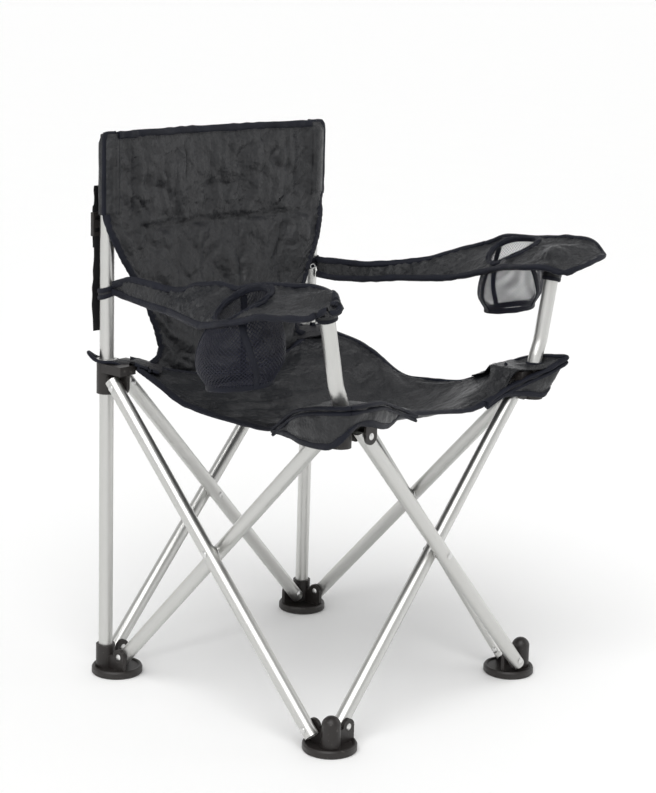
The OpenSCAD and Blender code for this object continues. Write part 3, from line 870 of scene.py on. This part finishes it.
def make_sleeve(name, side, front):
    """The sleeve round a rear post. Its front is the edge of the back's front face."""
    strip = front[:TOP_ROWS + 1, ::-side][:, :SLEEVE_CELLS + 1]
    outer, inner = strip[:, 0], strip[:, -1]
    steps = 13
    closing = smooth((outer[:, 2] - post_high.z) / 0.012)
    behind = []
    for k in range(1, steps):
        a = math.pi * k / steps
        arc = np.zeros_like(outer)
        arc[:, 0] = side * (post_x + 0.0138 * math.cos(a))
        arc[:, 1] = post_y + 0.0128 * math.sin(a) * (1 - 0.72 * closing) + 0.0005
        arc[:, 2] = outer[:, 2] * (1 - k / steps) + inner[:, 2] * k / steps
        arc[:, 1] += 0.0012 * field(arc, 55.0, 9.0) * math.sin(a)
        behind.append(arc)
    tube = np.concatenate([strip[:, ::-1], np.stack(behind, axis=1)], axis=1)
    ridge = tube[:1].copy()
    ridge[..., 1] = ridge[..., 1].mean()
    ridge[..., 2] += 0.0012
    tube = np.concatenate([ridge, tube])
    n = grid_normals(tube, (tube - [side * post_x, post_y, 0.0]) * LEVEL, closed=True)
    b = Builder()
    b.sheet(tube, n, SLEEVE_THICK, closed=True)
    edge = outer + [-side * 0.001, 0.001, 0.0]
    corner = edge[0] + [-side * 0.004, 0.001, 0.0004]
    top = np.linspace(corner, ridge[0, :SLEEVE_CELLS + 1].mean(0) * [0, 1, 1] + [inner[0, 0], 0, 0], 7)
    path = np.concatenate([edge[::-1][:-1], top])
    outward = np.zeros_like(path)
    outward[:len(edge), 0] = side
    outward[len(edge) - 2:, 2] = 1.0
    b.tape(path, outward, AHEAD, *SLEEVE_TAPE, inset=0.2)
    for line in ((slice(2, None), 2), (slice(2, None), SLEEVE_CELLS), -2):
        b.stitches(tube[line], n[line])
    return b.make("sleeve_%s_cloth" % name)


back = make_back()
for name, body, node in (("back_upholstery", "rear_right_post", "back_panel"),
                         ("back_fold_upper", "backrest_fold_upper", "back_mid"),
                         ("back_fold_lower", "backrest_fold_lower", "back_lower")):
    settle(back[name], body, node)
    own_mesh(back[name])
for name, _ in SIDES:
    settle(back["sleeve_" + name], "rear_%s_post" % name, "sleeve_" + name)

# ---- armrests --------------------------------------------------------------------------------

# Along each arm: distance from the frame's middle along Y, then how far its outer edge lies from
# the middle plane and how high, then the same of its inner edge
ARMS = {
    "right": [
        (-0.299, 0.332, 0.662, 0.316, 0.668), (-0.277, 0.342, 0.652, 0.296, 0.668),
        (-0.243, 0.346, 0.646, 0.262, 0.668), (-0.218, 0.346, 0.644, 0.240, 0.668),
        (-0.172, 0.346, 0.640, 0.232, 0.672), (-0.145, 0.346, 0.630, 0.252, 0.671),
        (-0.100, 0.344, 0.618, 0.254, 0.668), (-0.056, 0.334, 0.610, 0.255, 0.655),
        (-0.020, 0.318, 0.608, 0.253, 0.657), (0.030, 0.292, 0.607, 0.248, 0.650),
        (0.070, 0.272, 0.605, 0.244, 0.634), (0.130, 0.252, 0.603, 0.240, 0.636),
        (0.180, 0.240, 0.605, 0.237, 0.639), (0.221, 0.236, 0.610, 0.236, 0.624)],
    "left": [
        (-0.299, 0.335, 0.676, 0.240, 0.662), (-0.286, 0.340, 0.680, 0.228, 0.652),
        (-0.250, 0.345, 0.697, 0.226, 0.661), (-0.200, 0.346, 0.693, 0.226, 0.655),
        (-0.165, 0.346, 0.689, 0.240, 0.650), (-0.130, 0.346, 0.686, 0.254, 0.640),
        (-0.090, 0.343, 0.683, 0.254, 0.628), (-0.056, 0.334, 0.668, 0.255, 0.619),
        (-0.030, 0.326, 0.660, 0.255, 0.613), (0.000, 0.308, 0.648, 0.254, 0.609),
        (0.030, 0.290, 0.636, 0.252, 0.606), (0.060, 0.272, 0.630, 0.248, 0.603),
        (0.120, 0.252, 0.621, 0.242, 0.593), (0.180, 0.240, 0.620, 0.238, 0.588),
        (0.221, 0.236, 0.619, 0.236, 0.590)]}
PAD_FRONT, STRIP_START, ARM_BACK = -0.299, -0.056, 0.221
PAD_ROWS, STRIP_ROWS, ARM_COLUMNS = 76, 66, 32
HOLE_R = 0.0365
# Each cup: its middle along Y, its widest radius and the height of its bottom
CUPS = {"right": (-0.108, 0.0610, 0.530), "left": (-0.134, 0.0515, 0.572)}


def arm_sheet(name, side, y, s):
    """Points of an arm's upper face. s runs from its outer edge, 0, to its inner edge, 1."""
    x_out, z_out, x_in, z_in = eased_table(ARMS[name], y, 0.010)
    x = x_out * (1 - s) + x_in * s
    wide = np.clip((x_out - x_in) / 0.09, 0.0, 1.0)
    crown = 0.0075 * wide * (1 - np.abs(2 * s - 1) ** 3)
    over = 0.008 * np.exp(-((x - arm_end_x) ** 2 + (y - arm_y) ** 2) / 0.018 ** 2)
    return np.stack([side * x, y + 0 * x, z_out * (1 - s) + z_in * s + crown + over], axis=-1)


def arm_points(name, side):
    y = np.concatenate([np.linspace(PAD_FRONT, STRIP_START, PAD_ROWS + 1),
                        np.linspace(STRIP_START, ARM_BACK, STRIP_ROWS + 1)[1:]])
    s = np.linspace(0.0, 1.0, ARM_COLUMNS + 1)
    points = arm_sheet(name, side, *np.meshgrid(y, s, indexing="ij"))
    round_off = 0.016 * np.abs(2 * s - 1) ** 4
    points[:, :, 1] += round_off * np.clip(1 - np.arange(len(y)) / 9.0, 0, 1)[:, None]
    return points


def arm_pins(points, name, side):
    """How firmly an arm is held: at its edges and ends, over the post, and round the cup's hole."""
    column = np.arange(ARM_COLUMNS + 1)
    edge = np.minimum(column, column[::-1])
    grip = np.maximum(0.015, 1.0 - edge / 2.0) * np.ones((len(points), 1))
    grip[:10] = 1.0
    grip[-2:] = 1.0
    x, y = points[..., 0] * side, points[..., 1]
    from_hole = np.hypot(x - cup_x, y - CUPS[name][0]) - HOLE_R
    grip = np.maximum(grip, 0.5 * (np.abs(from_hole) < 0.004))
    grip = np.maximum(grip, 0.9 * (np.hypot(x - arm_end_x, y - arm_y) < 0.013))
    return np.maximum(grip, 0.25 * smooth((y - STRIP_START) / 0.03))


def cut_hole(points, middle):
    """Which cells lie outside a round hole, with the cells' corners along it moved onto it."""
    flat = points[..., :2] - middle
    distance = np.linalg.norm(flat, axis=2)
    inside = (distance[:-1, :-1] + distance[1:, :-1] + distance[:-1, 1:] + distance[1:, 1:]) / 4 < HOLE_R
    shared = np.zeros(distance.shape, int)
    for i, j in np.ndindex(2, 2):
        shared[i:i + inside.shape[0], j:j + inside.shape[1]] += inside
    rim = (shared > 0) & (shared < 4)
    scale = np.where(rim, HOLE_R / np.maximum(distance, 1e-9), 1.0)
    points[..., :2] = middle + flat * scale[..., None]
    return ~inside


def hole_rim(points, middle, n):
    """The hole's rim in order, with its normals."""
    flat = points[..., :2] - middle
    on = np.abs(np.linalg.norm(flat, axis=2) - HOLE_R) < 1e-6
    angle = np.arctan2(flat[on][:, 1], flat[on][:, 0])
    order = np.argsort(angle)
    turns = circle(60, -math.pi)
    return [read(turns, angle[order], grid[on][order], period=FULL_TURN) for grid in (points, n)]


def make_arm(name, side):
    """One armrest: its pad with the cup's hole, and the strip that runs back to the rear post."""
    flat = arm_points(name, side)
    points = drape(flat, arm_pins(flat, name, side), frames=22, loose=0.03, weight=0.5, most=0.006)
    n = grid_normals(points, UP)
    calm = smooth(np.arange(len(points)) / 12.0)[:, None]
    points = points + n * (0.0038 * calm * (creases(points, 24.0, 5.0 * side) - 0.5))[..., None]
    middle = np.array([side * cup_x, CUPS[name][0]])
    keep = cut_hole(points, middle)
    n = grid_normals(points, UP)
    s = np.linspace(-1.0, 1.0, points.shape[1])[None, :]
    full = np.clip((STRIP_START + 0.05 - points[..., 1]) / 0.06, 0.0, 1.0)
    near_hole = smooth((np.hypot(*(points[..., :2] - middle).transpose(2, 0, 1)) - HOLE_R) / 0.012)
    thick = ARM_THICK + 0.0050 * full * (1 - s ** 4) * (0.3 + 0.7 * near_hole)
    uv = grid_uv(points)
    rows, columns = points.shape[:2]
    row = np.arange(rows - 1)[:, None]
    core = points - n * thick[..., None] / 2
    made = {}
    for part, cells in (("pad", row < PAD_ROWS), ("strip", row >= PAD_ROWS)):
        b = Builder()
        b.cloth(points, n, uv, grid_faces(rows, columns, keep & cells), thick)
        if part == "pad":
            bind_pad(b, points, core, n)
            bind_hole(b, *hole_rim(points, middle, n), middle)
            make_post_sleeve(b, name)
        else:
            run = slice(PAD_ROWS, rows)
            for column, inner in ((0, 2), (-1, -3)):
                away = points[run, column] - points[run, ARM_COLUMNS // 2]
                sew_edge(b, core[run, column], away, n[run, column], 64)
                b.stitches(points[run, inner], n[run, inner])
        made[part] = b.make("armrest_%s_%s" % (part, name))
    return made


def sew_edge(b, edge, away, face, count):
    """Binding along an edge of an armrest, on a smoothed path of count points."""
    path = rounded_path(np.concatenate([edge, away, face], axis=1), count)
    b.tape(path[:, :3], path[:, 3:6], path[:, 6:], *ARM_TAPE, inset=0.2)


def bind_pad(b, points, core, n):
    """The pad's binding, which runs round its free sides, and the seams inside it."""
    last, mid = PAD_ROWS, ARM_COLUMNS // 2
    sides = (slice(last, 0, -1), 0), (0, slice(None)), (slice(1, last + 1), -1)
    path, face = (np.concatenate([grid[part] for part in sides]) for grid in (core, n))
    front = points[8:9, mid].repeat(ARM_COLUMNS + 1, 0)
    centre = np.concatenate([points[sides[0][0], mid], front, points[sides[2][0], mid]])
    sew_edge(b, path, path - centre, face, 140)
    for line in ((slice(3, last), 2), (slice(3, last), -3), (3, slice(2, -2))):
        b.stitches(points[line], n[line])


def bind_hole(b, rim, normal, middle):
    """The ring of binding round the cup's hole, and the seam round that."""
    spoke = (rim - [*middle, 0]) * LEVEL
    b.tape(rim - normal * 0.0022, -spoke, normal, *RING_TAPE, closed=True)
    b.stitches(again(rim + spoke * (0.0075 / HOLE_R)) + UP * 0.0007, again(normal), 0.0)


def make_post_sleeve(b, name):
    """The pocket under the pad that takes the arm post's end."""
    post = np.array([v.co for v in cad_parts["arm_post_" + name].data.vertices]) - [0, centre_y, 0]
    end = post[post[:, 2] > arm_top - 0.006].mean(0)
    axis = unit(end - post[(post[:, 2] > 0.530) & (post[:, 2] < 0.640)].mean(0))
    across = unit(np.cross(axis, [0.0, 1.0, 0.0]))
    turns = circle(26)[:, None]
    ring = np.cos(turns) * across + np.sin(turns) * np.cross(axis, across)
    wall = np.stack([end + axis * t + ring * (tube_r + 0.0034 + 0.0008 * math.sin(400 * t))
                     for t in np.linspace(-0.020, -0.002, 7)])
    b.sheet(wall, ring, LOOP_THICK, closed=True)
    b.tape(wall[0] - ring * 0.0008, -axis, ring, *POST_TAPE, closed=True)


def make_loop(name, side):
    """The cloth loop that holds an arm's strip to the rear post."""
    turns = circle(32)
    ring = np.stack([np.cos(turns), np.sin(turns), 0 * turns], axis=1)
    post = np.array([side * post_x, post_y, 0.0])
    wall = np.stack([post + ring * (tube_r + 0.0022) + UP * z for z in np.linspace(0.6030, 0.6180, 7)])
    wall = wall + ring * (0.0006 * field(wall, 130.0, 4.0 + side))[..., None]
    wall[..., 2] += 0.004 * np.cos(turns + 0.7)
    b = Builder()
    b.sheet(wall, ring, LOOP_THICK, closed=True)
    for row, way in ((0, -1.0), (-1, 1.0)):
        b.tape(wall[row] - ring * 0.0006, UP * way, ring, *LOOP_TAPE, closed=True)
    if side > 0:
        add_grommet(b, post + [-0.0080, -0.0128, 0.6060], np.array([-0.53, -0.85, 0.0]))
    return b.make("arm_loop_cloth_" + name, CLOTHS + [rivets])


def add_grommet(b, middle, out, ring_r=0.0038, wire=0.0011):
    """A metal ring set in the cloth."""
    turns = circle(28)[:, None]
    spoke = np.cos(turns) * unit(np.cross(out, UP)) + np.sin(turns) * UP
    round_wire = circle(8)
    points = np.stack([middle + spoke * (ring_r + wire * math.cos(a)) + out * wire * math.sin(a)
                       for a in round_wire], axis=1)
    normals = np.stack([spoke * math.cos(a) + out * math.sin(a) for a in round_wire], axis=1)
    points, normals = again(points), again(normals)
    b.face(b.place(points), grid_faces(*points.shape[:2], closed=True), normals, grid_uv(points), GROMMET)


# ---- cup holders -----------------------------------------------------------------------------

NET_COUNT = 62
NET_TWIST = 1.9                # how far a thread turns round the bag on its way down, in radians
NET_R = 0.00060
CUP_YARN, CUP_TAPE = 0, 1      # the net bag's materials, by number


def bag_points(name, side, angle, t):
    """The net bag's wall. t runs from the hole's rim, 0, to the edge of its bottom, 1."""
    y, wide, bottom = CUPS[name]
    rim_y = y + HOLE_R * np.sin(angle)
    rim_x = cup_x + HOLE_R * np.cos(angle) * side
    x_out, _, x_in, _ = eased_table(ARMS[name], rim_y, 0.010)
    rim_z = arm_sheet(name, side, rim_y, (x_out - rim_x) / (x_out - x_in))[..., 2] - 0.006
    belly = np.sin(np.clip(t / 0.62, 0, 1) * math.pi / 2) ** 0.8
    base = 1 - 0.26 * smooth((t - 0.62) / 0.38) ** 1.4
    r = (HOLE_R + 0.001 + (wide - HOLE_R) * belly) * base * (1 + 0.035 * np.sin(3 * angle + 1.0 + side) * t)
    drop = bottom + 0.006 * np.cos(angle + 1.2) * t
    z = rim_z * (1 - t) + drop * t
    return np.stack([side * cup_x + r * np.cos(angle), y + r * np.sin(angle), z], axis=-1)


def strands(b, paths, face):
    """Three-sided threads along many paths of the same number of points."""
    ahead = unit(np.gradient(paths, axis=1))
    side = unit(np.cross(ahead, face))
    up = np.cross(side, ahead)
    out = np.stack([side * math.cos(a) + up * math.sin(a) for a in (0.5, 2.6, 4.7)], axis=2)
    count = paths.shape[1]
    wall = grid_faces(count, 3, closed=True)
    for line, normals, way in zip(paths[:, :, None] + out * NET_R, out, ahead):
        first = b.place(line)
        b.face(first, wall, normals, np.zeros((count * 3, 2)), CUP_YARN)
        for end, turn in ((0, -1.0), (count - 1, 1.0)):
            cap = way[end] * turn * np.ones((3, 1))
            b.face(first + end * 3, [[0, 1, 2]], cap, np.zeros((3, 2)), CUP_YARN)


def make_cup(name, side):
    """A net bag under the hole, with its rim, its bottom's edge and three ribs of tape."""
    b = Builder()
    t = np.linspace(0.0, 1.0, 25)[None, :]
    start = circle(NET_COUNT)[:, None]
    middle = np.array([side * cup_x, CUPS[name][0], 0.0])
    for way in (-1.0, 1.0):
        paths = bag_points(name, side, start + way * NET_TWIST * t, t + 0 * start)
        paths = paths + 0.0004 * way * np.cos(40 * t + 9 * start)[..., None] * UP
        strands(b, paths, (paths - middle) * LEVEL)
    turns = circle(48)
    foot, rim = (bag_points(name, side, turns, at + 0 * turns) for at in (1, 0))
    make_bottom(b, foot)
    for edge, size in ((foot, CUP_FOOT), (rim, CUP_RIM)):
        b.tape(edge, -UP, (edge - middle) * LEVEL, *size, CUP_TAPE, closed=True)
    down = np.linspace(0.02, 1.0, 19)
    for angle, lean in ((-2.45, 0.55), (0.7, 0.0), (2.2, 0.0)):
        leg = bag_points(name, side, angle + lean * down + (0.5 if side > 0 else 0.0), down)
        out = (leg - middle) * LEVEL
        b.tape(leg + out * 0.012, np.cross(out, UP), out, *CUP_RIB, CUP_TAPE, inset=0.0)
    return b.make("cup_net_" + name, [net, tape])


def make_bottom(b, foot):
    """Threads both ways across the bag's bottom, which sags a little."""
    centre = foot.mean(0)
    radius = np.linalg.norm((foot - centre)[:, :2], axis=1).min() - 0.001
    slope = [np.polyfit(foot[:, k], foot[:, 2], 1)[0] for k in (0, 1)]
    for turn in (0.5, 0.5 + math.pi / 2):
        along = np.array([math.cos(turn), math.sin(turn), 0.0])
        aside = np.array([-along[1], along[0], 0.0])
        offsets = np.arange(-radius + 0.003, radius - 0.002, 0.0055)
        half = np.sqrt(radius ** 2 - offsets ** 2)
        paths = aside * offsets[:, None, None] + along * (half[:, None] * np.linspace(-1, 1, 13))[..., None]
        far = np.linalg.norm(paths[..., :2], axis=2) / radius
        paths[..., 2] += slope[0] * paths[..., 0] + slope[1] * paths[..., 1] - 0.004 * (1 - far ** 2)
        strands(b, centre + paths, np.broadcast_to(UP, paths.shape))


# ---- straps ----------------------------------------------------------------------------------

# Height, and how far behind the frame's middle the strap hangs there
STRAP_PATH = [(0.770, 0.2540), (0.752, 0.2542), (0.733, 0.2546), (0.712, 0.2552), (0.690, 0.2546),
              (0.668, 0.2544), (0.645, 0.2550), (0.620, 0.2562), (0.600, 0.2570), (0.578, 0.2556),
              (0.548, 0.2540)]
STRAP_WEBBING, STRAP_THREAD = 0, 1


def make_strap(name, side):
    """Webbing behind a rear post: down from the sleeve, through the buckle, to a loose tail."""
    heights = np.linspace(STRAP_PATH[0][0], STRAP_PATH[-1][0], 60)
    path = np.stack([side * (post_x + 0.0015 * smooth((0.66 - heights) / 0.1)),
                     along_table(STRAP_PATH, heights)[0], heights], axis=1)
    b = Builder()
    outward = np.array([side, 0.0, 0.0])
    b.tape(path, outward, -AHEAD, *WEBBING, STRAP_WEBBING, inset=0.0)
    b.tape(path[8:26] - AHEAD * 0.0024, outward, -AHEAD, *WEBBING_UNDER, STRAP_WEBBING, inset=0.0)
    for s in (-0.0075, 0.0075):
        b.stitches(path[:6] + [s, 0.0012, 0], np.tile(-AHEAD, (6, 1)), 0.0, STRAP_THREAD)
    return b.make("strap_webbing_" + name, [webbing, sewing])


for name, side in SIDES:
    arm = make_arm(name, side)
    hub = "front_%s_hub" % name
    settle(arm["pad"], hub, "armrest_" + name)
    settle(arm["strip"], name + "_arm_strip", "arm_strip_" + name)
    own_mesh(arm["strip"])
    loop = make_loop(name, side)
    settle(loop, name + "_arm_loop", "arm_loop_" + name)
    cup = make_cup(name, side)
    settle(cup, hub, "cup_holder_" + name)
    strap = make_strap(name, side)
    settle(strap, "rear_%s_post" % name, "strap_" + name)

# ---- seat corners ----------------------------------------------------------------------------

POST_HOLE = 0.0125
CORNER_COLUMNS = 120
WING_TOP = 0.5050
SKIRT_HUB = (0.215, -0.222)      # the middle of what a skirt hangs round
# Each front corner: points of its folded rim (X, Y, Z), each with the height of its hem below and
# the share by which the hem is drawn in towards the hub; then its edge on the seat (X, Y)
RIGHT_RIM = [
    (-0.223, -0.100, 0.452, 0.449, 0), (-0.238, -0.144, 0.484, 0.452, 0),
    (-0.250, -0.171, 0.497, 0.450, 0), (-0.254, -0.205, 0.506, 0.450, 0),
    (-0.2555, -0.235, 0.511, 0.454, 0), (-0.252, -0.262, 0.5145, 0.476, 0.05),
    (-0.235, -0.2685, 0.516, 0.490, 0.1), (-0.205, -0.268, 0.515, 0.486, 0),
    (-0.177, -0.262, 0.512, 0.476, 0), (-0.143, -0.248, 0.500, 0.469, 0),
    (-0.095, -0.230, 0.484, 0.4745, 0), (-0.054, -0.225, 0.4675, 0.4655, 0)]
RIGHT_INNER = [(-0.073, -0.209), (-0.113, -0.203), (-0.153, -0.198), (-0.178, -0.188), (-0.188, -0.178),
               (-0.198, -0.153), (-0.203, -0.123)]
LEFT_RIM = [
    (0.123, -0.224, 0.459, 0.455, 0), (0.166, -0.228, 0.475, 0.466, 0),
    (0.200, -0.245, 0.490, 0.464, 0), (0.235, -0.262, 0.503, 0.458, 0.15),
    (0.272, -0.272, 0.519, 0.470, 0.42), (0.262, -0.235, 0.516, 0.460, 0.3),
    (0.253, -0.200, 0.509, 0.456, 0.05), (0.240, -0.165, 0.492, 0.460, 0),
    (0.226, -0.130, 0.472, 0.464, 0)]
LEFT_INNER = [(0.205, -0.130), (0.199, -0.160), (0.190, -0.180), (0.178, -0.190), (0.150, -0.205)]


def corner_top(side, rim, inner):
    """The sheet that lies over a front hub, from the arm post out to the rim and onto the seat."""
    post = np.array([side * arm_x, arm_y, 0.0])
    on_seat = np.array([(x, y, seat_z(x, y) + 0.003) for x, y in inner])
    edge = rounded_path(np.concatenate([rim[-1:], on_seat, rim[:1]]), CORNER_COLUMNS - len(rim) + 2)[1:-1]
    loop = np.concatenate([rim, edge])
    hole = post + unit((loop - post) * LEVEL) * POST_HOLE + UP * 0.5085
    rows = []
    for t in np.linspace(0, 1, 13):
        line = hole * (1 - t) + loop * t
        x, y, z = line.T
        z += 0.0035 * math.sin(math.pi * t) * (1 - 0.4 * t)
        z += 0.0012 * t * (1 - t) * 4 * field(line, 60.0, 7.0 + side)
        on = (np.abs(x) + np.abs(y) < SEAT_CUT + 0.01) & (np.abs(x) < SEAT_HALF) & (np.abs(y) < SEAT_HALF)
        z[:] = np.where(on, np.maximum(z, seat_z(x, y) + 0.0032), z)
        over_hub = smooth((np.abs(x) - 0.160) / 0.026) * smooth((-y - 0.160) / 0.026)
        z += np.maximum(hub_top + 0.0042 - z, 0.0) * over_hub
        rows.append(line)
    return np.stack(rows)


def corner_skirt(side, rim, hem, pull):
    """The cloth that hangs from the rim round the hub. It bows out and ripples."""
    out = unit(np.cross(np.gradient(rim, axis=0), UP))
    hub = np.array([side * SKIRT_HUB[0], SKIRT_HUB[1], 0.0])
    out *= np.sign(((rim - hub) * out).sum(1, keepdims=True))
    rows = []
    for v in np.linspace(0, 1, 12):
        line = rim.copy()
        line[:, 2] = rim[:, 2] * (1 - v) + hem * v
        line[:, :2] += (hub - line)[:, :2] * (pull * v)[:, None]
        bow = 0.0030 * math.sin(math.pi * v) - 0.0015 * v
        ripple = 0.0032 * math.sin(math.pi * min(v * 1.1, 1)) * field(line * [1, 1, 0.4], 62.0, 3.0 * side)
        rows.append(line + out * (bow + ripple)[:, None])
    return np.stack(rows), out


def make_pocket(name, side, rim_table, inner):
    """A folded front corner of the seat, in two pieces that part at its outer point: one along
    the seat's front edge and one along its side edge."""
    path = rounded_path(rim_table, 84)
    rim, hem, pull = path[:, :3], path[:, 3], path[:, 4]
    top = corner_top(side, rim, inner)
    n = grid_normals(top, UP, closed=True)
    skirt, out = corner_skirt(side, rim, hem, pull)
    face = grid_normals(skirt, out)
    count = top.shape[1]
    tip = int(np.argmax(np.abs(rim[:, 0]) + np.abs(rim[:, 1])))
    on_seat = np.abs(top[-1, len(rim):])
    inside = len(rim) + int(np.argmin(np.abs(on_seat[:, 0] - on_seat[:, 1])))
    ranges = [np.arange(tip, inside + 1), np.arange(inside, count + tip + 1) % count]
    pieces = {}
    for kind, columns in zip(("front", "side") if side < 0 else ("side", "front"), ranges):
        b = Builder()
        hung, sewn = columns[columns < len(rim)], columns[columns >= len(rim)]
        fall, away = skirt[:, hung], face[:, hung]
        edge, spread = rim[hung], out[hung]
        b.sheet(top[:, columns], n[:, columns], POCKET_THICK)
        b.sheet(fall, away, POCKET_THICK)
        b.tape(edge + UP * 0.0008, spread, UP, *FOLD_TAPE, inset=0.1)
        b.tape(edge - UP * 0.0060, spread, spread * 0.4 + UP * 0.6, *WELT, inset=0.0)
        b.tape(fall[-1] - spread * 0.0008, -UP, away[-1], *HEM_TAPE, inset=0.25)
        b.stitches(fall[-3], away[-3])
        b.stitches(top[-3, sewn], n[-3, sewn], 0.0004)
        if kind == "front":
            spoke = (top[0] - top[0].mean(0)) * LEVEL
            b.tape(top[0] + UP * 0.0004, -spoke, UP, *HOLE_TAPE, inset=-0.4, closed=True)
        pieces[kind] = b.make("corner_pocket_%s_%s" % (kind, name))
    return pieces


# The wing's outline from the rear post: distance outwards along the diagonal, half width, height
WING = [(0.027, 0.003, 0.517), (0.025, 0.008, 0.515), (0.019, 0.013, 0.508), (0.010, 0.016, 0.5052),
        (0.0, 0.0168, 0.5046), (-0.012, 0.017, 0.5044), (-0.028, 0.0185, 0.504), (-0.042, 0.0215, 0.505),
        (-0.060, 0.027, 0.504), (-0.085, 0.033, 0.496)]


def make_wing(name, side):
    """The doubled corner of the seat that lies round a rear post and curls up at its tip."""
    outward = np.array([side, 1.0, 0.0]) / math.sqrt(2)
    across = np.cross(UP, outward)
    post = np.array([side * post_x, post_y, 0.0])
    half = np.array(WING)
    loop = rounded_path(again(np.concatenate([half, half[::-1] * [1, -1, 1]])), 97)[:-1]
    away = loop[:, :1] * outward + loop[:, 1:2] * across
    hole = post + unit(away) * POST_HOLE + UP * (WING_TOP - 0.0002)
    edge = post + away
    droop = 0.017 * smooth((-loop[:, 0] - 0.010) / 0.035) * smooth((np.abs(loop[:, 1]) - 0.004) / 0.014)
    edge[:, 2] = loop[:, 2] - droop
    rows = []
    for t in np.linspace(0, 1, 12):
        line = hole * (1 - t) + edge * t
        x, y, z = line.T
        z[:] = hole[:, 2] * (1 - t ** 2) + edge[:, 2] * t ** 2
        on_seat = (line - post) @ outward < -0.040
        z[:] = np.where(on_seat, np.maximum(z, seat_z(x, y) + 0.003), z)
        z += 0.0008 * t * field(line, 80.0, 6.0 + side)
        rows.append(line)
    points = np.stack(rows)
    n = grid_normals(points, UP, closed=True)
    b = Builder()
    b.sheet(points, n, WING_THICK, closed=True, slot=LINING)
    order = np.roll(np.arange(len(loop)), -int(np.argmin(loop[:, 0])))
    order = order[loop[order, 0] > WING[-1][0] + 0.004]
    b.tape((points[-1] - n[-1] * WING_THICK / 2)[order], away[order], n[-1][order], *WING_TAPE, inset=0.2)
    b.stitches(again(points[-3]) + 0.0004, again(n[-3]), 0.0)
    return b.make("wing_cloth_" + name)


for name, side in SIDES:
    wing = make_wing(name, side)
    settle(wing, "rear_%s_slider" % name, "wing_" + name)
POCKETS = {"right": (RIGHT_RIM, RIGHT_INNER), "left": (LEFT_RIM, LEFT_INNER)}
for name, side in SIDES:
    pocket = make_pocket(name, side, *POCKETS[name])
    for kind, piece in pocket.items():
        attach(piece, "front_%s_hub" % name)
    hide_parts("corner_pocket_" + name)
    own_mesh(pocket["front"])
    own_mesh(pocket["side"])
